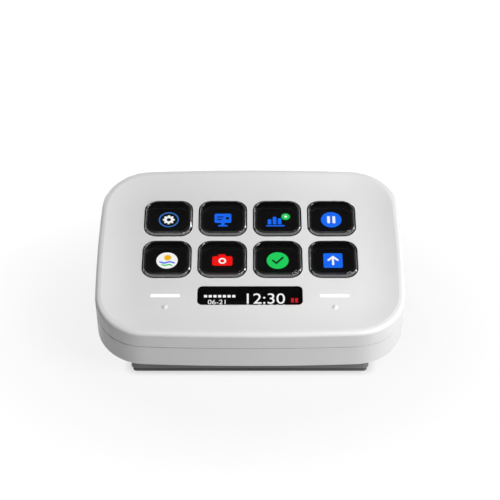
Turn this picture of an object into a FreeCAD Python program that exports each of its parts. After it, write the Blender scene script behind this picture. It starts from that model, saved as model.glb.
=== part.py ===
"""Macro keypad with eight clear keys over a display, on a wedge stand.

The slab of the keypad leans back by the tilt. Its pieces are drawn in the slab's own frame: X to the
right, Y up the slope of the face, Z out of the face, with zero on the flat floor of the dished face.
The stand and its pad are drawn upright. Lengths are millimetres and angles are degrees.
"""
import FreeCAD, Part
import math
import os
import Sketcher

Vector = FreeCAD.Vector
Constraint = Sketcher.Constraint

SIZES = {
    # The slab
    "slab_width": 107.0,
    "slab_length": 78.0,
    "slab_depth": 16.0,
    "slab_corner": 17.5,
    "side_bow": 570.0,
    "end_bow": 840.0,
    "foot_bevel": 1.0,
    "wall": 2.0,
    "tilt": 20.0,
    "face_height": 32.0,
    # The dished face
    "rim_height": 1.6,
    "rim_width": 2.0,
    "rim_round": 1.3,
    "dish_ring": 11.5,
    "corner_share": 0.6,
    "plate_thick": 1.8,
    # The joint between the two shells
    "split_depth": 5.4,
    "split_gap": 0.3,
    "lip_wall": 1.0,
    "lip_height": 1.5,
    "lip_gap": 0.1,
    # The keys
    "key_pitch": 19.4,
    "key_opening": 17.4,
    "key_corner": 4.6,
    "key_gap": 0.25,
    "key_rise": 1.2,
    "key_shoulder": 0.9,
    "flange_lap": 0.55,
    "flange_cut": 2.2,
    "flange_thick": 0.9,
    "stop_gap": 0.1,
    "key_travel": 1.0,
    "rows_lift": 6.2,
    # The spring sheet under the keys
    "skirt_solid": 0.5,
    "skirt_wall": 1.0,
    "skirt_taper": 0.4,
    "sheet_thick": 0.5,
    "film_thick": 0.3,
    "screen_window": 15.4,
    "window_cut": 2.5,
    # The display under the keys
    "screen_thick": 2.2,
    "glass_thick": 0.7,
    "screen_margin": 1.2,
    "tray_gap": 0.2,
    "tray_wall": 0.8,
    "ear_reach": 7.5,
    "ear_width": 8.0,
    "ear_spread": 12.0,
    "tray_post": 5.0,
    "tray_peg": 2.0,
    "peg_over": 0.5,
    # The information window, the light bars and the touch dots
    "window_width": 36.3,
    "window_length": 8.5,
    "window_corner": 1.8,
    "window_drop": 20.05,
    "light_width": 10.3,
    "light_length": 1.4,
    "light_corner": 0.6,
    "light_drop": 20.1,
    "dot_radius": 0.75,
    "dot_height": 0.25,
    "dot_drop": 25.2,
    "insert_gap": 0.15,
    "insert_lap": 1.0,
    "insert_flange": 0.8,
    "info_thick": 1.4,
    # The two touch boards
    "touch_width": 16.0,
    "touch_length": 10.6,
    "touch_thick": 0.8,
    "touch_standoff": 1.6,
    "touch_pad_width": 4.2,
    "touch_post": 2.4,
    "touch_spread": 6.4,
    "touch_post_drop": 24.2,
    "lamp_width": 3.0,
    "lamp_length": 1.4,
    "lamp_thick": 0.6,
    # The main board and its parts
    "board_clear": 0.2,
    "board_thick": 1.0,
    "board_width": 80.0,
    "board_low": 28.0,
    "board_high": 32.0,
    "chip_width": 12.0,
    "chip_thick": 1.2,
    "ribbon_width": 20.0,
    "info_ribbon_width": 10.0,
    "ribbon_thick": 0.2,
    "ribbon_reach": 3.2,
    "ribbon_foot": 5.0,
    # The cable inlet
    "plug_width": 13.2,
    "plug_height": 7.0,
    "plug_depth": 4.5,
    "plug_corner": 3.2,
    "inlet_floor": 2.0,
    "inlet_gap": 0.2,
    "inlet_corner": 1.56,
    "inlet_shell_width": 8.94,
    "inlet_shell_height": 3.26,
    "inlet_shell_length": 7.3,
    "inlet_shell_wall": 0.3,
    "inlet_tongue": 0.7,
    "inlet_tongue_width": 6.7,
    # The screws and their bosses
    "boss_radius": 2.5,
    "screw_radius": 1.1,
    "screw_gap": 0.05,
    "head_radius": 2.1,
    "head_thick": 1.2,
    "head_gap": 0.1,
    "screw_bite": 3.0,
    "shell_boss_across": 36.0,
    "shell_boss_low": 31.0,
    "shell_boss_high": 28.6,
    "board_boss_across": 24.0,
    "board_boss_low": 24.0,
    "board_rest_high": 22.0,
    "board_rest": 4.0,
    # The stand, its pad and the weight inside it
    "stand_width": 82.0,
    "stand_length": 65.0,
    "stand_reach": 28.0,
    "stand_corner": 2.0,
    "stand_wall": 2.0,
    "stand_boss_across": 33.0,
    "stand_boss_low": 20.0,
    "stand_boss_high": 18.0,
    "boss_sink": 1.0,
    "pad_thick": 1.45,
    "pad_inset": 0.6,
    "pad_lug": 0.6,
    "pad_lug_inset": 5.0,
    "pad_lug_gap": 0.1,
    "weight_width": 52.0,
    "weight_length": 44.0,
    "weight_thick": 4.5,
    "weight_back": 6.0,
    "peg_radius": 1.5,
    "peg_gap": 0.1,
    "peg_spread": 18.0,
}

COLUMNS = (-1.5, -0.5, 0.5, 1.5)
ROWS = (0.5, -0.5)
SIDES = (("left", -1.0), ("right", 1.0))
DISH_STEPS = 3
EIGHT_SIDED_CUT = 2 - math.sqrt(2)
OVERSHOOT = 5.0

doc = FreeCAD.newDocument("keypad")
sheet = doc.addObject("Spreadsheet::Sheet", "sizes")
for row, (alias, number) in enumerate(SIZES.items(), 1):
    sheet.set(f"A{row}", str(number))
    sheet.setAlias(f"A{row}", alias)
doc.recompute()


class Size:
    """A number together with the formula of sheet cells that gives it."""

    def __init__(self, number, formula):
        self.number = number
        self.formula = formula

    def __add__(self, other):
        other = sized(other)
        return Size(self.number + other.number, f"({self.formula} + {other.formula})")

    def __sub__(self, other):
        other = sized(other)
        return Size(self.number - other.number, f"({self.formula} - {other.formula})")

    def __mul__(self, other):
        other = sized(other)
        return Size(self.number * other.number, f"({self.formula} * {other.formula})")

    def __truediv__(self, other):
        other = sized(other)
        return Size(self.number / other.number, f"({self.formula} / {other.formula})")

    def __neg__(self):
        return self * -1.0


def sized(value):
    """The value as a Size, also where it is a plain number."""
    if isinstance(value, Size):
        return value
    return Size(float(value), f"({float(value)})")


def cell(alias):
    """The Size held by one cell of the sheet."""
    return Size(float(sheet.get(alias)), f"sizes.{alias}")


def sine(angle):
    return Size(math.sin(math.radians(angle.number)), f"sin({angle.formula} * 1deg)")


def cosine(angle):
    return Size(math.cos(math.radians(angle.number)), f"cos({angle.formula} * 1deg)")


ZERO = sized(0.0)
SIN = sine(cell("tilt"))
COS = cosine(cell("tilt"))

# Heights in the slab's frame
RIM_TOP = cell("rim_height")
CEILING = -cell("plate_thick")
SPLIT = -cell("split_depth")
BASE_TOP = SPLIT - cell("split_gap")
UNDERSIDE = -cell("slab_depth")
BASE_FLOOR = UNDERSIDE + cell("wall")
FLANGE_TOP = CEILING - cell("stop_gap")
FLANGE_LOW = FLANGE_TOP - cell("flange_thick")
SKIRT_TOP = FLANGE_LOW - cell("stop_gap")
SKIRT_HEIGHT = cell("key_travel") + cell("skirt_solid")
SHEET_TOP = SKIRT_TOP - SKIRT_HEIGHT
FILM_TOP = SHEET_TOP - cell("sheet_thick")
SCREEN_TOP = FILM_TOP - cell("film_thick")
SCREEN_LOW = SCREEN_TOP - cell("screen_thick")
TRAY_LOW = SCREEN_LOW - cell("tray_wall")
INSERT_LOW = CEILING - cell("insert_flange")
INFO_LOW = INSERT_LOW - cell("info_thick")
TOUCH_TOP = CEILING - cell("touch_standoff")
BOARD_TOP = TRAY_LOW - cell("board_clear") - cell("inlet_shell_height")
BOARD_LOW = BOARD_TOP - cell("board_thick")
INLET_MIDDLE = BOARD_TOP + cell("inlet_shell_height") / 2

# Plan sizes in the slab's frame
HALF_LENGTH = cell("slab_length") / 2
SCREEN_WIDTH = cell("key_pitch") * 3 + cell("screen_window") + cell("screen_margin") * 2
SCREEN_LENGTH = cell("key_pitch") + cell("screen_window") + cell("screen_margin") * 2
TRAY_WIDTH = SCREEN_WIDTH + (cell("tray_gap") + cell("tray_wall")) * 2
TRAY_LENGTH = SCREEN_LENGTH + (cell("tray_gap") + cell("tray_wall")) * 2
EAR_ACROSS = TRAY_WIDTH / 2 + cell("ear_reach") - cell("ear_width") / 2
EAR_WIDTH = TRAY_WIDTH + cell("ear_reach") * 2
KEY_SIDE = cell("key_opening") - cell("key_gap") * 2
FLANGE_SIDE = cell("key_opening") + cell("flange_lap") * 2
SIDE_PART = cell("key_pitch") * 1.5
TOUCH_DROP = (cell("light_drop") + cell("dot_drop")) / 2
INLET_MOUTH = HALF_LENGTH - cell("plug_depth")
RIBBON_BACK = cell("rows_lift") - TRAY_LENGTH / 2

# The upright frame has its zero on the floor, under the middle of the whole keypad
RIM_ROUND = cell("rim_round")
FRONT_REACH = (HALF_LENGTH - RIM_ROUND) * COS + (RIM_TOP - RIM_ROUND) * SIN + RIM_ROUND
BACK_REACH = HALF_LENGTH * COS + (cell("slab_depth") - cell("foot_bevel")) * SIN
SLAB_BACK = (FRONT_REACH - BACK_REACH) / 2
STAND_MIDDLE = cell("stand_length") / 2 - cell("stand_reach")
STAND_FLOOR = cell("pad_thick") + cell("stand_wall")


def new_body(label):
    """An empty body with the label of its sub-part."""
    body = doc.addObject("PartDesign::Body", label)
    body.Label = label
    return body


def place_on_slab(body, across=ZERO, along=ZERO):
    """Put a body at a place on the face of the leaning slab."""
    body.Placement = FreeCAD.Placement(Vector(), FreeCAD.Rotation(Vector(1, 0, 0), 1.0))
    body.setExpression("Placement.Base.x", across.formula)
    body.setExpression("Placement.Base.y", (SLAB_BACK + along * COS).formula)
    body.setExpression("Placement.Base.z", (cell("face_height") + along * SIN).formula)
    body.setExpression("Placement.Rotation.Angle", cell("tilt").formula)


def place_upright(body):
    """Put a body in the upright frame of the stand."""
    body.Placement = FreeCAD.Placement()
    body.setExpression("Placement.Base.y", (SLAB_BACK + STAND_MIDDLE).formula)


def new_sketch(body, name, level=ZERO, plane="XY_Plane"):
    """A sketch on one of the body's own planes, raised by the level."""
    sketch = body.newObject("Sketcher::SketchObject", f"{body.Name}_{name}")
    origin_plane = [item for item in body.Origin.OriginFeatures if item.Role == plane][0]
    sketch.AttachmentSupport = [(origin_plane, "")]
    sketch.MapMode = "FlatFace"
    sketch.setExpression("AttachmentOffset.Base.z", level.formula)
    return sketch


def constrain(sketch, links, measures):
    """Add the links, then the measured constraints, each bound to its formula."""
    if links:
        sketch.addConstraint(links)
    made = [Constraint(kind, *where, size.number) for kind, where, size in measures]
    for index, (kind, where, size) in zip(sketch.addConstraint(made), measures):
        sketch.setExpression(f"Constraints[{index}]", size.formula)


def centre_measures(curve, across, along):
    """The two measures that hold a curve's centre from the sketch's origin."""
    return [("DistanceX", (-1, 1, curve, 3), across), ("DistanceY", (-1, 1, curve, 3), along)]


def draw_circle(sketch, across, along, radius):
    centre = Vector(across.number, along.number, 0)
    curve = sketch.addGeometry(Part.Circle(centre, Vector(0, 0, 1), radius.number), False)
    constrain(sketch, [], centre_measures(curve, across, along) + [("Radius", (curve,), radius)])


def draw_polygon(sketch, points):
    """Straight lines through the points and back to the first."""
    corners = [Vector(across.number, along.number, 0) for across, along in points]
    ends = corners[1:] + corners[:1]
    lines = sketch.addGeometry([Part.LineSegment(a, b) for a, b in zip(corners, ends)], False)
    links = [Constraint("Coincident", a, 2, b, 1) for a, b in zip(lines, lines[1:] + lines[:1])]
    measures = []
    for line, (across, along) in zip(lines, points):
        measures.append(("DistanceX", (-1, 1, line, 1), across))
        measures.append(("DistanceY", (-1, 1, line, 1), along))
    constrain(sketch, links, measures)


def draw_box(sketch, width, length, across=ZERO, along=ZERO):
    """A plain rectangle about a centre."""
    low_x, high_x = across - width / 2, across + width / 2
    low_y, high_y = along - length / 2, along + length / 2
    draw_polygon(sketch, [(low_x, low_y), (high_x, low_y), (high_x, high_y), (low_x, high_y)])


def draw_cut_box(sketch, width, cut, across=ZERO, along=ZERO):
    """A square about a centre with its corners cut off."""
    half = width / 2
    short = half - cut
    turns = [(short, -half), (half, -short), (half, short), (short, half)]
    turns += [(-short, half), (-half, short), (-half, -short), (-short, -half)]
    draw_polygon(sketch, [(across + x, along + y) for x, y in turns])


def arc(centre, radius, start, end):
    circle = Part.Circle(Vector(*centre, 0), Vector(0, 0, 1), radius)
    return Part.ArcOfCircle(circle, start, end)


def tangent_ring(curves):
    """Links that join each curve's end to the next one's start without a corner."""
    return [Constraint("Tangent", a, 2, b, 1) for a, b in zip(curves, curves[1:] + curves[:1])]


def draw_round_box(sketch, width, length, corner, across=ZERO, along=ZERO):
    """A rectangle about a centre with round corners."""
    half_x, half_y = width / 2 - corner, length / 2 - corner
    signs = ((1, -1), (1, 1), (-1, 1), (-1, -1))
    centres = [(across + half_x * x, along + half_y * y) for x, y in signs]
    radius = corner.number
    curves = []
    for quarter, (x, y) in enumerate(centres):
        start = math.radians(90 * quarter - 90)
        last_x, last_y = centres[quarter - 1]
        outward = Vector(math.cos(start), math.sin(start), 0) * radius
        before = Vector(last_x.number, last_y.number, 0) + outward
        after = Vector(x.number, y.number, 0) + outward
        curves.append(Part.LineSegment(before, after))
        curves.append(arc((x.number, y.number), radius, start, start + math.pi / 2))
    made = sketch.addGeometry(curves, False)
    measures = []
    for curve, (x, y) in zip(made[1::2], centres):
        measures += centre_measures(curve, x, y) + [("Radius", (curve,), corner)]
    constrain(sketch, tangent_ring(made), measures)


def meeting_point(first, first_reach, second, second_reach):
    """The lower right point at given distances from two centres."""
    apart = math.dist(first, second)
    along = (apart**2 + first_reach**2 - second_reach**2) / (2 * apart)
    away = math.sqrt(first_reach**2 - along**2)
    x, y = (second[0] - first[0]) / apart, (second[1] - first[1]) / apart
    choices = [(first[0] + x * along + s * y * away, first[1] + y * along - s * x * away) for s in (1, -1)]
    return max(choices, key=lambda point: point[0] - point[1])


def draw_slab_outline(sketch, inset):
    """The slab's plan, drawn in by the inset: four bowed sides and four round corners."""
    half_x = cell("slab_width") / 2 - inset
    half_y = HALF_LENGTH - inset
    side, end = cell("side_bow"), cell("end_bow")
    corner = cell("slab_corner") - inset * cell("corner_share")
    low_middle = (0.0, (end - half_y).number)
    right_middle = ((half_x - side).number, 0.0)
    x, y = meeting_point(low_middle, (end - corner).number, right_middle, (side - corner).number)
    low_turn = math.atan2(y - low_middle[1], x)
    right_turn = math.atan2(y, x - right_middle[0])
    radius = corner.number
    flip = math.pi
    curves = [
        arc(low_middle, end.number, -flip - low_turn, low_turn),
        arc((x, y), radius, low_turn, right_turn),
        arc(right_middle, side.number, right_turn, -right_turn),
        arc((x, -y), radius, -right_turn, -low_turn),
        arc((0.0, -low_middle[1]), end.number, -low_turn, flip + low_turn),
        arc((-x, -y), radius, flip + low_turn, flip + right_turn),
        arc((-right_middle[0], 0.0), side.number, flip + right_turn, flip - right_turn),
        arc((-x, y), radius, flip - right_turn, flip - low_turn),
    ]
    made = sketch.addGeometry(curves, False)
    middles = [(ZERO, end - half_y), (half_x - side, ZERO), (ZERO, half_y - end), (side - half_x, ZERO)]
    measures = []
    for curve, (across, along), bow in zip(made[0::2], middles, (end, side, end, side)):
        measures += centre_measures(curve, across, along) + [("Radius", (curve,), bow)]
    for curve in made[1::2]:
        measures.append(("Radius", (curve,), corner))
    constrain(sketch, tangent_ring(made), measures)


def add_length(body, kind, name, sketch, length, backwards=False, both_ways=False):
    feature = body.newObject(f"PartDesign::{kind}", f"{body.Name}_{name}")
    feature.Profile = sketch
    feature.setExpression("Length", length.formula)
    feature.Reversed = backwards
    if both_ways:
        feature.Midplane = True
    sketch.Visibility = False
    return feature


def pad(body, name, sketch, length, **ways):
    """Raise the sketch by the length, out of its plane."""
    return add_length(body, "Pad", name, sketch, length, **ways)


def pocket(body, name, sketch, length, **ways):
    """Cut the sketch into the solid by the length, down from its plane."""
    return add_length(body, "Pocket", name, sketch, length, **ways)


def pocket_up(body, name, sketch, length):
    """Cut the sketch into the solid by the length, up from its plane."""
    return pocket(body, name, sketch, length, backwards=True)


def finish_edges(body, kind, name, feature, height, size):
    """Round or bevel all the edges of a feature that lie at one height."""
    doc.recompute()
    names = []
    for number, edge in enumerate(feature.Shape.Edges, 1):
        box = edge.BoundBox
        if abs(box.ZMin - height.number) < 1e-4 and abs(box.ZMax - height.number) < 1e-4:
            names.append(f"Edge{number}")
    edge_form = body.newObject(f"PartDesign::{kind}", f"{body.Name}_{name}")
    edge_form.Base = (feature, names)
    edge_form.setExpression({"Fillet": "Radius", "Chamfer": "Size"}[kind], size.formula)


def key_places():
    """The centre of each key, row by row from the upper left."""
    pitch = cell("key_pitch")
    return [(pitch * column, cell("rows_lift") + pitch * line) for line in ROWS for column in COLUMNS]


def four_places(across, low, high):
    """Two places below the slab's middle and two above it."""
    return [(across * side, along) for along in (-low, high) for _, side in SIDES]


def shell_boss_places():
    return four_places(cell("shell_boss_across"), cell("shell_boss_low"), cell("shell_boss_high"))


def board_boss_places():
    """The two screwed bosses at the board's front edge."""
    return [(cell("board_boss_across") * side, -cell("board_boss_low")) for _, side in SIDES]


def board_rest_places():
    """The two plain rests behind them."""
    return [(cell("board_boss_across") * side, cell("board_rest_high")) for _, side in SIDES]


def stand_boss_places():
    return four_places(cell("stand_boss_across"), cell("stand_boss_low"), cell("stand_boss_high"))


def ear_places():
    """The centres of the display tray's four pegs."""
    lift, spread = cell("rows_lift"), cell("ear_spread")
    return [(EAR_ACROSS * side, lift + spread * end) for end in (-1, 1) for _, side in SIDES]


def touch_post_places():
    """The four small posts that the two touch boards are glued to."""
    middles = [SIDE_PART * side for _, side in SIDES]
    spread = cell("touch_spread")
    return [(middle + spread * end, -cell("touch_post_drop")) for middle in middles for end in (-1, 1)]


def draw_circles(sketch, places, radius):
    for across, along in places:
        draw_circle(sketch, across, along, radius)


def draw_posts(sketch, places, radius):
    """Even eight-sided outlines with their flats at the radius, for posts, their holes and screws."""
    for across, along in places:
        draw_cut_box(sketch, radius * 2, radius * EIGHT_SIDED_CUT, across, along)


def draw_squares(sketch, places, width):
    for across, along in places:
        draw_box(sketch, width, width, across, along)


SCREW_HOLE = cell("screw_radius") + cell("screw_gap")


def face_shell():
    """The upper shell: a dished plate with openings, its walls, screw bosses, posts and pegs."""
    body = new_body("face_shell")
    outline = new_sketch(body, "outline", SPLIT)
    draw_slab_outline(outline, ZERO)
    block = pad(body, "block", outline, RIM_TOP - SPLIT)
    finish_edges(body, "Fillet", "rim", block, RIM_TOP, RIM_ROUND)
    sections = []
    for step in range(-1, DISH_STEPS + 1):
        share = step / (2 * DISH_STEPS) if step < 0 else step / DISH_STEPS
        section = new_sketch(body, f"dish_{step + 1}", cell("rim_height") * (1 - share) ** 2)
        draw_slab_outline(section, cell("rim_width") + cell("dish_ring") * share)
        sections.append(section)
    dish = body.newObject("PartDesign::SubtractiveLoft", "face_shell_dish")
    dish.Profile = sections[0]
    dish.Sections = sections[1:]
    cavity = new_sketch(body, "cavity", SPLIT)
    draw_slab_outline(cavity, cell("wall"))
    pocket_up(body, "hollow", cavity, CEILING - SPLIT)
    rabbet = new_sketch(body, "rabbet", SPLIT)
    draw_slab_outline(rabbet, cell("lip_wall"))
    pocket_up(body, "lip_seat", rabbet, cell("lip_height") + cell("lip_gap"))
    openings = new_sketch(body, "openings")
    key_side = cell("key_opening")
    for across, along in key_places():
        draw_round_box(openings, key_side, key_side, cell("key_corner"), across, along)
    width, length = cell("window_width"), cell("window_length")
    draw_round_box(openings, width, length, cell("window_corner"), ZERO, -cell("window_drop"))
    width, length = cell("light_width"), cell("light_length")
    for _, side in SIDES:
        draw_round_box(openings, width, length, cell("light_corner"), SIDE_PART * side, -cell("light_drop"))
    pocket(body, "through", openings, cell("plate_thick") + OVERSHOOT)
    dots = new_sketch(body, "dots", CEILING / 2)
    draw_circles(dots, [(SIDE_PART * side, -cell("dot_drop")) for _, side in SIDES], cell("dot_radius"))
    pad(body, "touch_marks", dots, cell("dot_height") - CEILING / 2)
    rings = new_sketch(body, "bosses", CEILING)
    draw_posts(rings, shell_boss_places(), cell("boss_radius"))
    pad(body, "screw_posts", rings, CEILING - SPLIT, backwards=True)
    bores = new_sketch(body, "bores", SPLIT)
    draw_posts(bores, shell_boss_places(), SCREW_HOLE)
    pocket_up(body, "screw_holes", bores, CEILING - SPLIT)
    peg_length = SCREEN_LOW - TRAY_LOW + cell("peg_over")
    for name, places, width, top, length in (
        ("tray_posts", ear_places(), cell("tray_post"), CEILING, CEILING - SCREEN_LOW),
        ("tray_pegs", ear_places(), cell("tray_peg"), SCREEN_LOW, peg_length),
        ("touch_posts", touch_post_places(), cell("touch_post"), CEILING, CEILING - TOUCH_TOP),
    ):
        squares = new_sketch(body, f"{name}_plan", top)
        draw_squares(squares, places, width)
        pad(body, name, squares, length, backwards=True)
    place_on_slab(body)


def base_shell():
    """The lower shell: a tray with a lip, bosses, standoffs and the cable inlet's recess."""
    body = new_body("base_shell")
    outline = new_sketch(body, "outline", UNDERSIDE)
    draw_slab_outline(outline, ZERO)
    block = pad(body, "block", outline, BASE_TOP - UNDERSIDE)
    finish_edges(body, "Chamfer", "foot", block, UNDERSIDE, cell("foot_bevel"))
    lip = new_sketch(body, "lip", BASE_TOP)
    draw_slab_outline(lip, cell("lip_wall") + cell("lip_gap"))
    lip_rise = cell("split_gap") + cell("lip_height")
    pad(body, "lip_ring", lip, lip_rise)
    cavity = new_sketch(body, "cavity", BASE_FLOOR)
    draw_slab_outline(cavity, cell("wall"))
    pocket_up(body, "hollow", cavity, BASE_TOP + lip_rise - BASE_FLOOR)
    rings = new_sketch(body, "shell_bosses", BASE_FLOOR)
    draw_posts(rings, shell_boss_places(), cell("boss_radius"))
    pad(body, "shell_posts", rings, SPLIT - BASE_FLOOR)
    standoffs = new_sketch(body, "standoffs", BASE_FLOOR)
    draw_posts(standoffs, board_boss_places(), cell("boss_radius"))
    draw_squares(standoffs, board_rest_places(), cell("board_rest"))
    pad(body, "board_posts", standoffs, BOARD_LOW - BASE_FLOOR)
    housing = new_sketch(body, "inlet_housing", -HALF_LENGTH + cell("wall") / 2, "XZ_Plane")
    housing_width = cell("plug_width") + cell("wall") * 2
    housing_height = BASE_TOP - BASE_FLOOR
    draw_box(housing, housing_width, housing_height, ZERO, BASE_FLOOR + housing_height / 2)
    pad(body, "inlet_block", housing, cell("plug_depth") + cell("inlet_floor") - cell("wall") / 2)
    recess = new_sketch(body, "inlet_recess", -HALF_LENGTH, "XZ_Plane")
    draw_round_box(recess, cell("plug_width"), cell("plug_height"), cell("plug_corner"), ZERO, INLET_MIDDLE)
    pocket(body, "inlet_mouth", recess, cell("plug_depth"), backwards=True)
    slot = new_sketch(body, "inlet_slot", -HALF_LENGTH, "XZ_Plane")
    gap = cell("inlet_gap")
    slot_height = cell("inlet_shell_height") + gap * 2
    slot_width = cell("inlet_shell_width") + gap * 2
    draw_round_box(slot, slot_width, slot_height, cell("inlet_corner") + gap, ZERO, INLET_MIDDLE)
    slot_depth = cell("plug_depth") + cell("inlet_floor") + cell("wall")
    pocket(body, "inlet_way", slot, slot_depth, backwards=True)
    bores = new_sketch(body, "shell_bores", UNDERSIDE)
    draw_posts(bores, shell_boss_places(), SCREW_HOLE)
    pocket_up(body, "shell_holes", bores, SPLIT - UNDERSIDE)
    sinks = new_sketch(body, "head_sinks", UNDERSIDE)
    draw_posts(sinks, shell_boss_places(), cell("head_radius") + cell("head_gap"))
    pocket_up(body, "head_seats", sinks, cell("wall"))
    taps = new_sketch(body, "board_bores", BOARD_LOW)
    draw_posts(taps, board_boss_places(), SCREW_HOLE)
    pocket(body, "board_holes", taps, BOARD_LOW - BASE_FLOOR + cell("wall") / 2)
    stand_bores = new_sketch(body, "stand_bores", UNDERSIDE)
    draw_posts(stand_bores, stand_boss_places(), SCREW_HOLE)
    pocket_up(body, "stand_holes", stand_bores, cell("wall"))
    place_on_slab(body)


def key_lens(label, across, along):
    """One clear key: a flange that stops under the plate and a stem with bevelled shoulders."""
    body = new_body(label)
    foot = new_sketch(body, "foot", FLANGE_LOW)
    draw_cut_box(foot, FLANGE_SIDE, cell("flange_cut"))
    pad(body, "flange", foot, cell("flange_thick"))
    top = new_sketch(body, "top", FLANGE_TOP)
    draw_round_box(top, KEY_SIDE, KEY_SIDE, cell("key_corner") - cell("key_gap"))
    stem = pad(body, "stem", top, cell("key_rise") - FLANGE_TOP)
    finish_edges(body, "Chamfer", "shoulder", stem, cell("key_rise"), cell("key_shoulder"))
    place_on_slab(body, across, along)


def key_skirt(label, across, along):
    """The elastic ring that carries one key: a wide foot and a narrower neck around its window."""
    body = new_body(label)
    outer = cell("screen_window") + cell("skirt_wall") * 2 + cell("skirt_taper")
    foot = new_sketch(body, "foot", SHEET_TOP)
    draw_cut_box(foot, outer, cell("window_cut"))
    draw_cut_box(foot, outer - cell("skirt_wall") * 2, cell("window_cut"))
    pad(body, "ring", foot, cell("skirt_solid"))
    neck = new_sketch(body, "neck", SHEET_TOP + cell("skirt_solid"))
    draw_cut_box(neck, outer, cell("window_cut"))
    draw_cut_box(neck, outer - cell("skirt_wall"), cell("window_cut"))
    pad(body, "wall", neck, cell("key_travel"))
    place_on_slab(body, across, along)


def windowed_sheet(label, top, thick):
    """A sheet under all the keys with one window for each."""
    body = new_body(label)
    plan = new_sketch(body, "plan", top)
    draw_box(plan, SCREEN_WIDTH, SCREEN_LENGTH, ZERO, cell("rows_lift"))
    for across, along in key_places():
        draw_cut_box(plan, cell("screen_window"), cell("window_cut"), across, along)
    pad(body, "sheet", plan, thick, backwards=True)
    place_on_slab(body)


def screen_panel():
    """The display under the keys: a case with a slightly smaller glass on it."""
    body = new_body("lcd_panel")
    plan = new_sketch(body, "plan", SCREEN_LOW)
    draw_box(plan, SCREEN_WIDTH, SCREEN_LENGTH, ZERO, cell("rows_lift"))
    pad(body, "case", plan, cell("screen_thick") - cell("glass_thick"))
    glass = new_sketch(body, "glass", SCREEN_TOP)
    trim = cell("glass_thick")
    draw_box(glass, SCREEN_WIDTH - trim, SCREEN_LENGTH - trim, ZERO, cell("rows_lift"))
    pad(body, "pane", glass, cell("glass_thick"), backwards=True)
    place_on_slab(body)


def screen_tray():
    """The tray that holds the display, with holes for four pegs and a gap for the ribbon."""
    body = new_body("lcd_tray")
    lift = cell("rows_lift")
    plan = new_sketch(body, "plan", TRAY_LOW)
    draw_box(plan, TRAY_WIDTH, TRAY_LENGTH, ZERO, lift)
    pad(body, "block", plan, SCREEN_TOP - TRAY_LOW)
    ears = new_sketch(body, "ears", TRAY_LOW)
    for end in (-1, 1):
        draw_box(ears, EAR_WIDTH, cell("ear_width"), ZERO, lift + cell("ear_spread") * end)
    pad(body, "ear_tabs", ears, cell("tray_wall"))
    well = new_sketch(body, "well", SCREEN_LOW)
    draw_box(well, SCREEN_WIDTH + cell("tray_gap") * 2, SCREEN_LENGTH + cell("tray_gap") * 2, ZERO, lift)
    pocket_up(body, "seat", well, cell("screen_thick"))
    notch = new_sketch(body, "notch", SCREEN_LOW)
    notch_width = cell("ribbon_width") + cell("tray_gap") * 2
    draw_box(notch, notch_width, cell("tray_wall") * 3, ZERO, RIBBON_BACK)
    pocket_up(body, "ribbon_gap", notch, cell("screen_thick"))
    bores = new_sketch(body, "bores", TRAY_LOW)
    draw_squares(bores, ear_places(), cell("tray_peg") + cell("screw_gap") * 2)
    pocket_up(body, "peg_holes", bores, cell("tray_wall"))
    place_on_slab(body)


def main_board():
    """The circuit board on its standoffs, cut clear of the upper shell bosses."""
    body = new_body("main_board")
    plan = new_sketch(body, "plan", BOARD_LOW)
    length = cell("board_low") + cell("board_high")
    middle = (cell("board_high") - cell("board_low")) / 2
    draw_box(plan, cell("board_width"), length, ZERO, middle)
    pad(body, "board", plan, cell("board_thick"))
    clears = new_sketch(body, "clears", BOARD_LOW)
    draw_posts(clears, shell_boss_places()[2:], cell("boss_radius") + cell("tray_gap"))
    pocket_up(body, "boss_gaps", clears, cell("board_thick"))
    bores = new_sketch(body, "bores", BOARD_LOW)
    draw_posts(bores, board_boss_places(), SCREW_HOLE)
    pocket_up(body, "holes", bores, cell("board_thick"))
    place_on_slab(body)


def main_chip():
    body = new_body("main_chip")
    plan = new_sketch(body, "plan", BOARD_TOP)
    draw_box(plan, cell("chip_width"), cell("chip_width"), ZERO, cell("rows_lift"))
    pad(body, "case", plan, cell("chip_thick"))
    place_on_slab(body)


def usb_socket():
    """The cable inlet's metal shell with its tongue, standing on the main board."""
    body = new_body("usb_socket")
    height, width = cell("inlet_shell_height"), cell("inlet_shell_width")
    length = cell("inlet_shell_length")
    skin = cell("inlet_shell_wall") * 2
    outside = new_sketch(body, "outside", -INLET_MOUTH, "XZ_Plane")
    draw_round_box(outside, width, height, cell("inlet_corner"), ZERO, INLET_MIDDLE)
    pad(body, "shell", outside, length)
    inside = new_sketch(body, "inside", -INLET_MOUTH, "XZ_Plane")
    inner_corner = cell("inlet_corner") - cell("inlet_shell_wall")
    draw_round_box(inside, width - skin, height - skin, inner_corner, ZERO, INLET_MIDDLE)
    depth = length - cell("inlet_shell_wall")
    pocket(body, "mouth", inside, depth, backwards=True)
    back = new_sketch(body, "back", -INLET_MOUTH + depth, "XZ_Plane")
    draw_box(back, cell("inlet_tongue_width"), cell("inlet_tongue"), ZERO, INLET_MIDDLE)
    pad(body, "tongue", back, depth - cell("inlet_tongue"), backwards=True)
    place_on_slab(body)


def flanged_insert(label, width, length, corner, across, drop):
    """A clear or frosted piece that fills an opening and is glued by its flange under the plate."""
    body = new_body(label)
    foot = new_sketch(body, "foot", INSERT_LOW)
    lap = cell("insert_lap") * 2
    draw_box(foot, width + lap, length + lap, across, -drop)
    pad(body, "flange", foot, cell("insert_flange"))
    top = new_sketch(body, "top", CEILING)
    gap = cell("insert_gap") * 2
    inner_corner = corner - cell("insert_gap")
    draw_round_box(top, width - gap, length - gap, inner_corner, across, -drop)
    pad(body, "pane", top, cell("plate_thick"))
    place_on_slab(body)


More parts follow.
